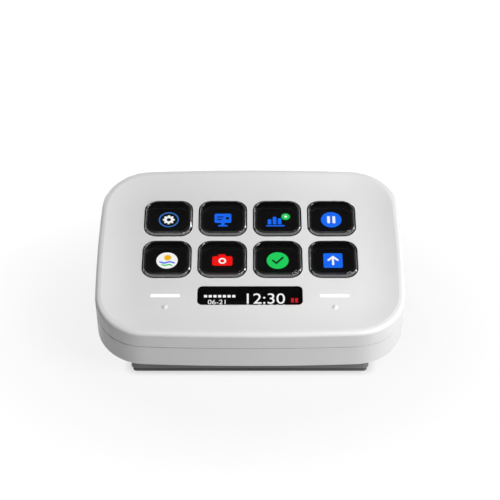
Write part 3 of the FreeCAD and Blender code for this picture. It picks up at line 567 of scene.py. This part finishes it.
def circuit_board(name, tone):
    """Lacquered board: raised copper tracks under the lacquer on a grid, and patches of tone."""
    material, add = new_material(name)
    where = on_slab(add)
    tracks = grid_lines(add, where, SCALES["tracks"], 0.03, stagger=0.5)
    patches = noise(add, where, SCALES["lacquer"], detail=3.0)
    lacquer = blend(add, patches, shade(tone, 0.8), shade(tone, 1.2))
    principled(
        add,
        Base_Color=blend(add, tracks, lacquer, shade(tone, 2.4)),
        Roughness=between(add, patches, 0.22, 0.38),
        Normal=relief(add, tracks, DEPTHS["tracks"]),
        Coat_Weight=0.3,
    )
    return material


def flexible_circuit(name, film, copper):
    """Film with copper lines side by side."""
    material, add = new_material(name)
    bands = {"bands_direction": "X"}
    wave = add("ShaderNodeTexWave", bands, Vector=coordinates(add), Scale=SCALES["copper"], Distortion=0.0)
    lines = wave.outputs["Fac"]
    principled(
        add,
        Base_Color=blend(add, lines, film, copper),
        Roughness=between(add, lines, 0.3, 0.45),
        Normal=relief(add, lines, DEPTHS["copper"]),
    )
    return material


def clear_plastic(name):
    """Polished clear plastic with the faintest flow marks. Its mirror gloss is tinted dark."""
    material, add = new_material(name)
    flow = noise(add, coordinates(add, stretch=(1, 1, 0.4)), SCALES["flow"])
    principled(
        add,
        Base_Color=(1.0, 1.0, 1.0),
        Roughness=between(add, flow, 0.0, 0.01),
        Normal=relief(add, flow, DEPTHS["flow"], strength=0.5),
        IOR=1.49,
        Transmission_Weight=1.0,
        Specular_Tint=(0.25, 0.25, 0.25),
    )
    return material


def display_black(name):
    """The dark face of a display that is off: near black with a fine grid of cells."""
    material, add = new_material(name)
    lines = grid_lines(add, on_slab(add), SCALES["cells"], 0.08)
    principled(
        add,
        Base_Color=blend(add, lines, (0.0022, 0.0022, 0.0024), (0.001, 0.001, 0.001)),
        Roughness=between(add, lines, 0.25, 0.4),
        Specular_IOR_Level=0.02,
    )
    return material


def lit(name, tone):
    """One colour of a lit picture: it shines by itself, and a fine grid of cells dims it a little."""
    material, add = new_material(name)
    lines = grid_lines(add, on_slab(add), SCALES["lit_cells"], 0.05)
    principled(
        add,
        Base_Color=(0.0, 0.0, 0.0),
        Roughness=1.0,
        Specular_IOR_Level=0.0,
        Emission_Color=blend(add, lines, tone, shade(tone, 0.82)),
        Emission_Strength=1.0,
    )
    return material


def frosted_light(name):
    """A frosted light guide, lit from behind: bright all along and a little softer in patches."""
    material, add = new_material(name)
    haze = noise(add, coordinates(add), SCALES["haze"], detail=3.0)
    principled(
        add,
        Base_Color=(0.85, 0.85, 0.85),
        Roughness=between(add, haze, 0.35, 0.5),
        Emission_Color=blend(add, haze, (0.9, 0.9, 0.9), (1.0, 1.0, 1.0)),
        Emission_Strength=0.6,
    )
    return material


def dress(material, *names):
    """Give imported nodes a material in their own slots."""
    for name in names:
        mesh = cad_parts[name].data
        mesh.materials.clear()
        mesh.materials.append(material)


class KEYPAD_OT_shells(bpy.types.Operator):
    """Finish the two shells of the slab, the stand and its pad"""

    bl_idname = "keypad.shells"
    bl_label = "Finish Shells"

    def execute(self, context):
        tones = colours()
        dress(moulded("satin_shell", tuple(tones.shell)), "face_shell", "base_shell")
        dress(moulded("satin_stand", tuple(tones.stand), rough=0.5), "stand_shell")
        dress(soft_rubber("pad_rubber", tuple(tones.pad)), "foot_pad")
        return {"FINISHED"}


class KEYPAD_OT_display_stack(bpy.types.Operator):
    """Finish the two sheets, the display, its tray, the clock's display and its window"""

    bl_idname = "keypad.display_stack"
    bl_label = "Finish Display Stack"

    def execute(self, context):
        dress(soft_rubber("sheet_silicone", BLACK_SILICONE, dusty=0.0, gloss=0.05), "membrane_sheet")
        dress(moulded("contact_print", (0.006, 0.006, 0.0065), rough=0.5), "contact_film")
        dress(display_black("display_face"), "lcd_panel", "info_display")
        dress(moulded("tray_plastic", (0.12, 0.12, 0.125)), "lcd_tray")
        dress(clear_plastic("window_clear"), "info_lens")
        return {"FINISHED"}


class KEYPAD_OT_electronics(bpy.types.Operator):
    """Finish the boards, the chip, the cable inlet, the ribbons, the lamps and the touch pads"""

    bl_idname = "keypad.electronics"
    bl_label = "Finish Electronics"

    def execute(self, context):
        board = circuit_board("board_lacquer", tuple(colours().solder_mask))
        dress(board, "main_board", "touch_board_left", "touch_board_right")
        dress(moulded("chip_epoxy", (0.02, 0.02, 0.022), rough=0.55, grain=2000.0), "main_chip")
        dress(plated("inlet_plating", (0.72, 0.72, 0.73), rough=0.26, stretch=(1, 6, 6)), "usb_socket")
        dress(flexible_circuit("amber_ribbon", AMBER_FILM, BARE_COPPER), "lcd_ribbon")
        dress(flexible_circuit("dark_ribbon", DARK_FILM, DARK_COPPER), "info_ribbon")
        dress(moulded("lamp_white", (0.75, 0.74, 0.66), rough=0.35), "led_left", "led_right")
        dress(soft_rubber("touch_foam", (0.18, 0.18, 0.19)), "touch_pad_left", "touch_pad_right")
        return {"FINISHED"}


class KEYPAD_OT_metalwork(bpy.types.Operator):
    """Finish the screws and the weight in the stand"""

    bl_idname = "keypad.metalwork"
    bl_label = "Finish Metalwork"

    def execute(self, context):
        zinc = plated("screw_zinc", (0.6, 0.6, 0.61), rough=0.32, stretch=(1, 1, 5))
        dress(zinc, "shell_screws", "board_screws", "stand_screws")
        steel = plated("rolled_weight", (0.42, 0.43, 0.44), rough=0.45, stretch=(1, 8, 1))
        dress(steel, "ballast_plate")
        return {"FINISHED"}


class KEYPAD_OT_light_bars(bpy.types.Operator):
    """Light the two bars beside the clock window"""

    bl_idname = "keypad.light_bars"
    bl_label = "Light Bars"

    def execute(self, context):
        dress(frosted_light("bar_light"), "light_bar_left", "light_bar_right")
        return {"FINISHED"}


class KEYPAD_OT_touch_dots(bpy.types.Operator):
    """Make the two small domes that mark the touch points

    A dome is circles whose radius follows a cosine and whose height follows a sine over a quarter turn.
    """

    bl_idname = "keypad.touch_dots"
    bl_label = "Touch Dots"

    def execute(self, context):
        size = sizes()
        white = moulded("dot_satin", tuple(colours().shell))
        turn = np.linspace(0, DOT_TURN, CORNER_STEPS)
        radii = size.dot_radius * np.cos(turn)
        outs = np.append(-size.dot_sink, size.dot_height * np.sin(turn))
        circles = [disc(0.0, 0.0, radius) for radius in (radii[0], *radii)]
        x, y = np.stack(circles, axis=1)
        for name, side in (("left", -1), ("right", 1)):
            middle = side * 1.5 * size.key_pitch
            points, faces = skin(place(middle + x, y - size.dot_drop, outs[:, None]))
            piece = new_piece(f"touch_dot_{name}", [(points, faces, 0)], [white], KEYPAD_BODY)
        return {"FINISHED"}


class KEYPAD_OT_seam_line(bpy.types.Operator):
    """Make the dark strip of painted shade at the bottom of the seam between the two shells

    Its section is a rectangle that is carried round the slab's outline.
    """

    bl_idname = "keypad.seam_line"
    bl_label = "Seam Line"

    def execute(self, context):
        size = sizes()
        # Painted shade: a near black strip stands in for the shadow deep in the seam's groove
        dark = soft_rubber("seam_shadow", (0.03, 0.03, 0.03), dusty=0.0, gloss=0.1)
        inner, outer = slab_outline(size.seam_lip), slab_outline(size.seam_lip - size.seam_thick)
        x, y = np.stack([inner, outer, outer, inner], axis=1)
        out = -size.seam_depth + np.array([-0.5, -0.5, 0.5, 0.5]) * size.seam_gap
        points, faces = skin(place(x, y, out[:, None]), looped=True)
        piece = new_piece("seam_line", [(points, faces, 0)], [dark], KEYPAD_BODY, smooth=False)
        return {"FINISHED"}


class KEYPAD_OT_clear_keys(bpy.types.Operator):
    """Make the eight clear keys with bevelled shoulders and black sides

    A key is its profile carried round a box with round corners.
    """

    bl_idname = "keypad.clear_keys"
    bl_label = "Clear Keys"

    def execute(self, context):
        size = sizes()
        clear = clear_plastic("key_clear")
        mask = soft_rubber("side_mask", (0.003, 0.003, 0.0032), dusty=0.0, gloss=0.05)
        half, corner, out = self.profile(size)
        x, y = round_box(half, half, corner)
        middle = (out[:-1] + out[1:]) / 2
        masked = (middle < size.key_rise - size.key_shoulder) & (middle > -size.flange_low)
        around = x.shape[1]
        masked = np.append(masked.repeat(around), np.zeros(2 * around)).astype(int)
        keys = key_pieces("clear_key", (x, y, out), [clear, mask], masked, moving=True)
        for number, piece in enumerate(keys, 1):
            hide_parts(f"key_lens_{number}")
        return {"FINISHED"}

    def profile(self, size):
        """Half widths, corner radii and levels from the underside to the top: up the flange, in to the
        stem, up the stem, over a steep bevel of sixty degrees and a low one of thirty. The first and the
        last point lie inside the two flat ends."""
        flat, upright = math.tan(math.pi / 6), math.tan(math.pi / 3)
        steep = size.key_shoulder * (1 - flat) / (upright - flat)
        drop = (size.key_shoulder - steep) * flat
        corners = np.array([
            (size.flange_half * 0.5, -size.flange_low),
            (size.flange_half, -size.flange_low),
            (size.flange_half, -size.flange_top),
            (size.key_half, -size.flange_top),
            (size.key_half, size.key_rise - size.key_shoulder),
            (size.key_half - steep, size.key_rise - drop),
            (size.key_half - size.key_shoulder, size.key_rise),
            (size.key_half * 0.4, size.key_rise),
        ])
        half, out = self.eased(corners, size.key_ease).T
        flare = np.clip((half - size.key_half) / (size.flange_half - size.key_half), 0, 1)
        inset = np.clip(size.key_half - half, 0, None)
        corner = size.key_corner + (size.flange_corner - size.key_corner) * flare
        corner = np.clip(corner - inset * size.corner_fall, size.corner_least, half)
        return half, corner, out

    def eased(self, corners, ease):
        """The same line with each inner corner cut back by the ease along both of its sides and bridged by
        a parabola whose control point is the corner. A point more on each side keeps the faces flat."""
        before = corners[:-2] - corners[1:-1]
        after = corners[2:] - corners[1:-1]
        before *= ease / np.linalg.norm(before, axis=1, keepdims=True)
        after *= ease / np.linalg.norm(after, axis=1, keepdims=True)
        share = np.linspace(0, 1, EDGE_STEPS)[:, None, None]
        bridge = before * (1 - share) ** 2 + after * share**2
        before, after = before[None] * EDGE_GUARD, after[None] * EDGE_GUARD
        turns = corners[1:-1] + np.concatenate([before, bridge, after])
        return np.vstack([corners[:1], turns.transpose(1, 0, 2).reshape(-1, 2), corners[-1:]])


class KEYPAD_OT_key_frames(bpy.types.Operator):
    """Make the thin black liners in the eight key openings

    A liner's section is an L that lines the opening and laps under the face. It is carried round a box with
    round corners.
    """

    bl_idname = "keypad.key_frames"
    bl_label = "Key Frames"

    def execute(self, context):
        size = sizes()
        black = soft_rubber("frame_black", BLACK_SILICONE, dusty=0.0, gloss=0.1)
        outer = size.opening_half - HAIR
        inner = outer - size.frame_thick
        lap = size.opening_half + size.frame_lap
        seat = -size.plate_thick - HAIR
        section = [
            (outer, -size.frame_sink),
            (inner, -size.frame_sink),
            (inner, seat - size.frame_lip),
            (lap, seat - size.frame_lip),
            (lap, seat),
            (outer, seat),
        ]
        half, out = np.array(section).T
        x, y = round_box(half, half, size.opening_corner - size.opening_half + half)
        key_pieces("key_frame", (x, y, out), [black])
        return {"FINISHED"}


class KEYPAD_OT_elastic_skirts(bpy.types.Operator):
    """Make the elastic skirts under the keys

    A skirt's section is a foot with a thinner neck on it, and is carried round a box with round corners.
    """

    bl_idname = "keypad.elastic_skirts"
    bl_label = "Elastic Skirts"

    def execute(self, context):
        size = sizes()
        rubber = soft_rubber("elastic_silicone", BLACK_SILICONE, dusty=0.0, gloss=0.05)
        half = size.skirt_half - size.skirt_wall * np.array([0, 0, 1, 1, 2, 2])
        foot, neck, top = np.cumsum([-size.sheet_depth, size.skirt_foot, size.skirt_travel])
        out = np.array([foot, top, top, neck, neck, foot])
        x, y = round_box(half, half, size.skirt_corner - size.skirt_half + half)
        axis = (place(0, 0, 1) - place(0, 0, 0)).tolist()
        skirts = key_pieces("elastic_skirt", (x, y, out), [rubber])
        for number, piece in enumerate(skirts, 1):
            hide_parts(f"key_skirt_{number}")
            anchor = place(*key_middle(number - 1), foot).tolist()
            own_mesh(piece)
        return {"FINISHED"}


class KEYPAD_OT_key_pictures(bpy.types.Operator):
    """Make the lit pictures behind the eight keys"""

    bl_idname = "keypad.key_pictures"
    bl_label = "Key Pictures"

    def execute(self, context):
        tones = colours()
        names = ("blue", "ring", "red", "green", "amber", "white", "black")
        materials = [lit(f"lit_{name}", tuple(getattr(tones, name))) for name in names]
        top = (self.settings, self.monitor, self.chart, self.pause)
        bottom = (self.weather, self.camera, self.done, self.up)
        level = -sizes().flange_low - PICTURE_GAP
        for number, draw in enumerate(top + bottom):
            across, along = key_middle(number)
            along += sizes().picture_shift
            parts = [(*drawn(shape, across, along, level), names.index(tone)) for shape, tone in draw()]
            piece = new_piece(f"picture_{number + 1}", parts, materials, f"key_{number + 1}", smooth=False)
        return {"FINISHED"}

    def settings(self):
        """A blue ring round a white toothed wheel with a dark middle."""
        return [
            (hoop(0, 0, 3.6, 3.12, 1), "ring"),
            (tile(gear(2.15, 8), 1), "white"),
            (tile(disc(0, 0, 0.75), 2), "black"),
        ]

    def monitor(self):
        """A blue monitor on a foot, with two dark lines and a dot."""
        return [
            (tile(box(0, 0.7, 3.0, 2.2, 0.6), 1), "blue"),
            (tile(box(0, -2.1, 0.6, 0.6, 0.1), 1), "blue"),
            (tile(box(0, -2.9, 1.7, 0.35, 0.3), 1), "blue"),
            (tile(bar((-1.9, 1.3), (0.1, 1.3), 0.5), 2), "black"),
            (tile(bar((-1.9, 0.1), (-0.6, 0.1), 0.5), 2), "black"),
            (tile(disc(1.6, 0.7, 0.65), 2), "black"),
        ]

    def chart(self):
        """Three blue columns on a line, with a green dot at the top right."""
        columns = ((-2.7, 2.4), (-0.9, 3.6), (0.9, 2.9))
        blues = [box(across, tall / 2 - 2.2, 0.65, tall / 2, 0.3) for across, tall in columns]
        blues.append(box(-0.6, -2.9, 3.3, 0.3, 0.28))
        return [
            *((tile(outline, 1), "blue") for outline in blues),
            (tile(disc(3.1, 1.5, 1.55), 1), "green"),
            (tile(disc(3.1, 1.5, 0.5), 2), "white"),
        ]

    def pause(self):
        """A blue disc with two white bars."""
        return [
            (tile(disc(0, 0, 3.7), 1), "blue"),
            (tile(box(-0.95, 0, 0.5, 1.7, 0.3), 2), "white"),
            (tile(box(0.95, 0, 0.5, 1.7, 0.3), 2), "white"),
        ]

    def weather(self):
        """A white disc with an amber sun above a blue wave and a green one."""
        stations = np.linspace(-2.7, 2.7, 25)
        wave = 0.28 * np.sin(stations / 0.62)
        upper, lower = wave - 0.9, wave * 0.7 - 2.1
        middle = np.linspace(-1.9, 1.9, 25)
        return [
            (tile(disc(0, 0, 3.75), 1), "white"),
            (tile(disc(0.2, 1.3, 1.25), 2), "amber"),
            (strip(stations, upper - 0.32, upper + 0.32, 2), "blue"),
            (strip(middle, lower - 0.3, lower + 0.3, 2), "green"),
        ]

    def camera(self):
        """A red camera with a white lens."""
        return [
            (tile(box(0, -0.2, 3.55, 2.2, 0.8), 1), "red"),
            (tile(box(-0.2, 2.2, 1.3, 0.7, 0.35), 1), "red"),
            (hoop(0, -0.2, 1.35, 0.75, 2), "white"),
        ]

    def done(self):
        """A green disc with a dark check mark."""
        low = (-0.45, -1.3)
        return [
            (tile(disc(0, 0, 3.85), 1), "green"),
            (tile(bar((-1.75, 0.05), low, 0.7), 2), "black"),
            (tile(bar(low, (1.85, 1.35), 0.7), 3), "black"),
        ]

    def up(self):
        """A blue tile with a white arrow that points up."""
        tip = (0, 1.7)
        return [
            (tile(box(0, 0, 3.35, 3.35, 0.6), 1), "blue"),
            (tile(bar((0, -1.8), tip, 0.75), 2), "white"),
            (tile(bar((-1.6, 0.15), tip, 0.75), 3), "white"),
            (tile(bar((1.6, 0.15), tip, 0.75), 4), "white"),
        ]


class KEYPAD_OT_clock_picture(bpy.types.Operator):
    """Make the lit digits in the clock window"""

    bl_idname = "keypad.clock_picture"
    bl_label = "Clock Picture"

    def execute(self, context):
        tones = colours()
        white, red = lit("clock_white", tuple(tones.white)), lit("clock_red", tuple(tones.dim_red))
        drop = -sizes().clock_drop
        level = -sizes().clock_depth + CLOCK_GAP
        time = self.digits("12:30", 6.6 * MM, 4.9 * MM, drop, level)
        date = self.digits("06-21", 2.9 * MM, -11.2 * MM, drop - 1.4 * MM, level)
        days = [box(-15.3 + 1.62 * day, 1.3, 0.55, 0.55, 0.15) for day in range(7)]
        mark = [box(across, -0.5, 0.5, 1.0, 0.2) for across in (14.6, 16.0)]
        parts = [(*time, 0), (*date, 0)]
        for outlines, tone in ((days, 0), (mark, 1)):
            parts += [(*drawn(tile(outline, 1), 0, drop, level), tone) for outline in outlines]
        piece = new_piece("clock_digits", parts, [white, red], KEYPAD_BODY, smooth=False)
        return {"FINISHED"}

    def digits(self, words, height, across, along, level):
        """Points and faces of plain numbers, centred on a place of the face. The text is made a mesh, and
        then its flat points are placed on the slab."""
        curve = bpy.data.curves.new("numbers", "FONT")
        curve.body = words
        curve.size = height
        curve.extrude = LAYER / 2
        curve.align_x, curve.align_y = "CENTER", "CENTER"
        text = bpy.data.objects.new("numbers", curve)
        bpy.context.scene.collection.objects.link(text)
        bpy.context.view_layer.update()
        mesh = bpy.data.meshes.new_from_object(text.evaluated_get(bpy.context.evaluated_depsgraph_get()))
        flat = np.empty(len(mesh.vertices) * 3)
        mesh.vertices.foreach_get("co", flat)
        flat = flat.reshape(-1, 3)
        faces = [list(face.vertices) for face in mesh.polygons]
        bpy.data.objects.remove(text)
        bpy.data.curves.remove(curve)
        bpy.data.meshes.remove(mesh)
        return place(across + flat[:, 0], along + flat[:, 1], level + flat[:, 2]), faces


class KEYPAD_OT_studio(bpy.types.Operator):
    """Set the floor, the soft lights and the camera"""

    bl_idname = "keypad.studio"
    bl_label = "Studio"

    def execute(self, context):
        self.floor()
        self.sky(context.scene)
        for lamp in LAMPS:
            self.lamp(*lamp)
        self.camera(context.scene)
        context.scene.view_settings.view_transform = "Standard"
        return {"FINISHED"}

    def seen(self, add):
        """One for rays that look, mirror or pass through clear things, and zero for rays that light."""
        path = add("ShaderNodeLightPath").outputs
        looks = self.most(add, path["Is Camera Ray"], path["Is Glossy Ray"])
        return self.most(add, looks, path["Is Transmission Ray"])

    def most(self, add, first, second):
        """The larger of two numbers."""
        return self.paired(add, "ShaderNodeMath", first, second, {"operation": "MAXIMUM"})

    def paired(self, add, kind, first, second, settings=None):
        """The output of a node whose first two inputs are linked from two others."""
        node = add(kind, settings)
        for socket, source in zip(node.inputs, (first, second)):
            connect(node.id_data, socket, source)
        return node.outputs[0]

    def floor(self):
        """A level square, a grid of points over two directions. Where it is seen, its white carries painted
        shade: a soft shadow round the keypad and a darker contact shadow close under things.
        """
        side = np.linspace(-FLOOR_HALF, FLOOR_HALF, FLOOR_STEPS)
        across, back = np.meshgrid(side, side, indexing="ij")
        points = np.stack([across, back, np.zeros_like(across)], axis=-1).reshape(-1, 3)
        index = np.arange(FLOOR_STEPS**2).reshape(FLOOR_STEPS, FLOOR_STEPS)
        faces = np.stack([index[:-1, :-1], index[1:, :-1], index[1:, 1:], index[:-1, 1:]], axis=-1)
        mesh = bpy.data.meshes.new("floor")
        mesh.from_pydata(points.tolist(), [], faces.reshape(-1, 4).tolist())
        material, add = new_material("pale_floor")
        speckle = noise(add, coordinates(add), SCALES["speckle"])
        tone = blend(add, speckle, (0.49, 0.49, 0.49), (0.51, 0.51, 0.51))
        paper = add("ShaderNodeBsdfDiffuse", Color=tone)
        where = add("ShaderNodeTexCoord").outputs["Object"]
        away = add("ShaderNodeVectorMath", {"operation": "LENGTH"}, Vector=where).outputs["Value"]
        # Painted shadow: the glow is lower close to the keypad and reaches white further away
        glow = add("ShaderNodeMapRange", Value=away, **FLOOR_GLOW).outputs[0]
        # Painted shade: the seen floor's white is dimmed to half where things stand close above it, as a
        # contact shadow
        near = add("ShaderNodeAmbientOcclusion", {"samples": 8}, Distance=FLOOR_SHADE).outputs["AO"]
        white = blend(add, near, (0.5, 0.5, 0.5), (1.0, 1.0, 1.0))
        bright = add("ShaderNodeEmission", Color=white, Strength=glow)
        faint = add("ShaderNodeBsdfDiffuse", Color=(0.08, 0.08, 0.08))
        both = self.paired(add, "ShaderNodeAddShader", faint.outputs[0], bright.outputs[0])
        surface(add, self.mixed(add, self.seen(add), paper, both.node))
        mesh.materials.append(material)
        floor = bpy.data.objects.new("floor", mesh)
        bpy.context.scene.collection.objects.link(floor)

    def sky(self, scene):
        """Faint even light from all round. It is plain white wherever it is looked at, and mirrors and
        clear things see it fade to grey overhead, as under a studio's dark ceiling."""
        world = bpy.data.worlds.new("studio_air")
        world.use_nodes = True
        tree = world.node_tree
        tree.nodes.clear()
        add = adder(tree)
        way = add("ShaderNodeTexCoord").outputs["Generated"]
        height = add("ShaderNodeSeparateXYZ", Vector=way).outputs["Z"]
        ceiling = add("ShaderNodeMapRange", Value=height, **CEILING_FADE).outputs[0]
        path = add("ShaderNodeLightPath").outputs
        mirrored = self.most(add, path["Is Glossy Ray"], path["Is Transmission Ray"])
        white = (1.0, 1.0, 1.0)
        soft, dome, plain = (
            add("ShaderNodeBackground", Color=white, Strength=power) for power in (0.05, ceiling, 1.0)
        )
        first = self.mixed(add, mirrored, soft, dome)
        second = self.mixed(add, path["Is Camera Ray"], first, plain)
        add("ShaderNodeOutputWorld", Surface=second.outputs[0])
        scene.world = world

    def mixed(self, add, share, first, second):
        """The first shader where the share is zero and the second where it is one."""
        node = add("ShaderNodeMixShader", Fac=share)
        node.id_data.links.new(first.outputs[0], node.inputs[1])
        node.id_data.links.new(second.outputs[0], node.inputs[2])
        return node

    def lamp(self, name, place_at, side, power):
        """A square soft light that looks at the keypad."""
        data = bpy.data.lights.new(name, "AREA")
        data.shape = "SQUARE"
        data.size = side
        data.energy = power
        lamp = bpy.data.objects.new(name, data)
        lamp.visible_camera = False
        lamp.location = place_at
        aim = np.array(LAMP_TARGET) - np.array(place_at)
        lamp.rotation_euler = (
            math.atan2(math.hypot(aim[0], aim[1]), -aim[2]),
            0,
            math.atan2(-aim[0], aim[1]),
        )
        bpy.context.scene.collection.objects.link(lamp)

    def camera(self, scene):
        """A long lens that looks along Y and down on the face."""
        data = bpy.data.cameras.new("camera")
        data.lens = CAMERA_LENS
        data.sensor_width = 36.0
        camera = bpy.data.objects.new("camera", data)
        back, up = CAMERA_AWAY * math.cos(CAMERA_DOWN), CAMERA_AWAY * math.sin(CAMERA_DOWN)
        camera.location = np.array(CAMERA_TARGET) + (0, -back, up)
        camera.rotation_euler = (math.pi / 2 - CAMERA_DOWN, 0, 0)
        scene.collection.objects.link(camera)
        scene.camera = camera


class KEYPAD_PT_panel(bpy.types.Panel):
    """The keypad's operators in the sidebar"""

    bl_idname = "KEYPAD_PT_panel"
    bl_label = "Keypad"
    bl_space_type = "VIEW_3D"
    bl_region_type = "UI"
    bl_category = "Keypad"

    def draw(self, context):
        for operator in OPERATORS:
            self.layout.operator(operator.bl_idname)


OPERATORS = (
    KEYPAD_OT_shells,
    KEYPAD_OT_display_stack,
    KEYPAD_OT_electronics,
    KEYPAD_OT_metalwork,
    KEYPAD_OT_light_bars,
    KEYPAD_OT_seam_line,
    KEYPAD_OT_touch_dots,
    KEYPAD_OT_clear_keys,
    KEYPAD_OT_key_frames,
    KEYPAD_OT_elastic_skirts,
    KEYPAD_OT_key_pictures,
    KEYPAD_OT_clock_picture,
    KEYPAD_OT_studio,
)
CLASSES = (KeypadSizes, KeypadColours, *OPERATORS, KEYPAD_PT_panel)


def register():
    for item in CLASSES:
        bpy.utils.register_class(item)
    bpy.types.Scene.keypad_sizes = bpy.props.PointerProperty(type=KeypadSizes)
    bpy.types.Scene.keypad_colours = bpy.props.PointerProperty(type=KeypadColours)


def unregister():
    del bpy.types.Scene.keypad_colours
    del bpy.types.Scene.keypad_sizes
    for item in reversed(CLASSES):
        bpy.utils.unregister_class(item)


def main():
    register()
    bpy.ops.keypad.shells()
    bpy.ops.keypad.display_stack()
    bpy.ops.keypad.electronics()
    bpy.ops.keypad.metalwork()
    bpy.ops.keypad.light_bars()
    bpy.ops.keypad.seam_line()
    bpy.ops.keypad.touch_dots()
    bpy.ops.keypad.clear_keys()
    bpy.ops.keypad.key_frames()
    bpy.ops.keypad.elastic_skirts()
    bpy.ops.keypad.key_pictures()
    bpy.ops.keypad.clock_picture()
    bpy.ops.keypad.studio()


if __name__ == "__main__":
    main()
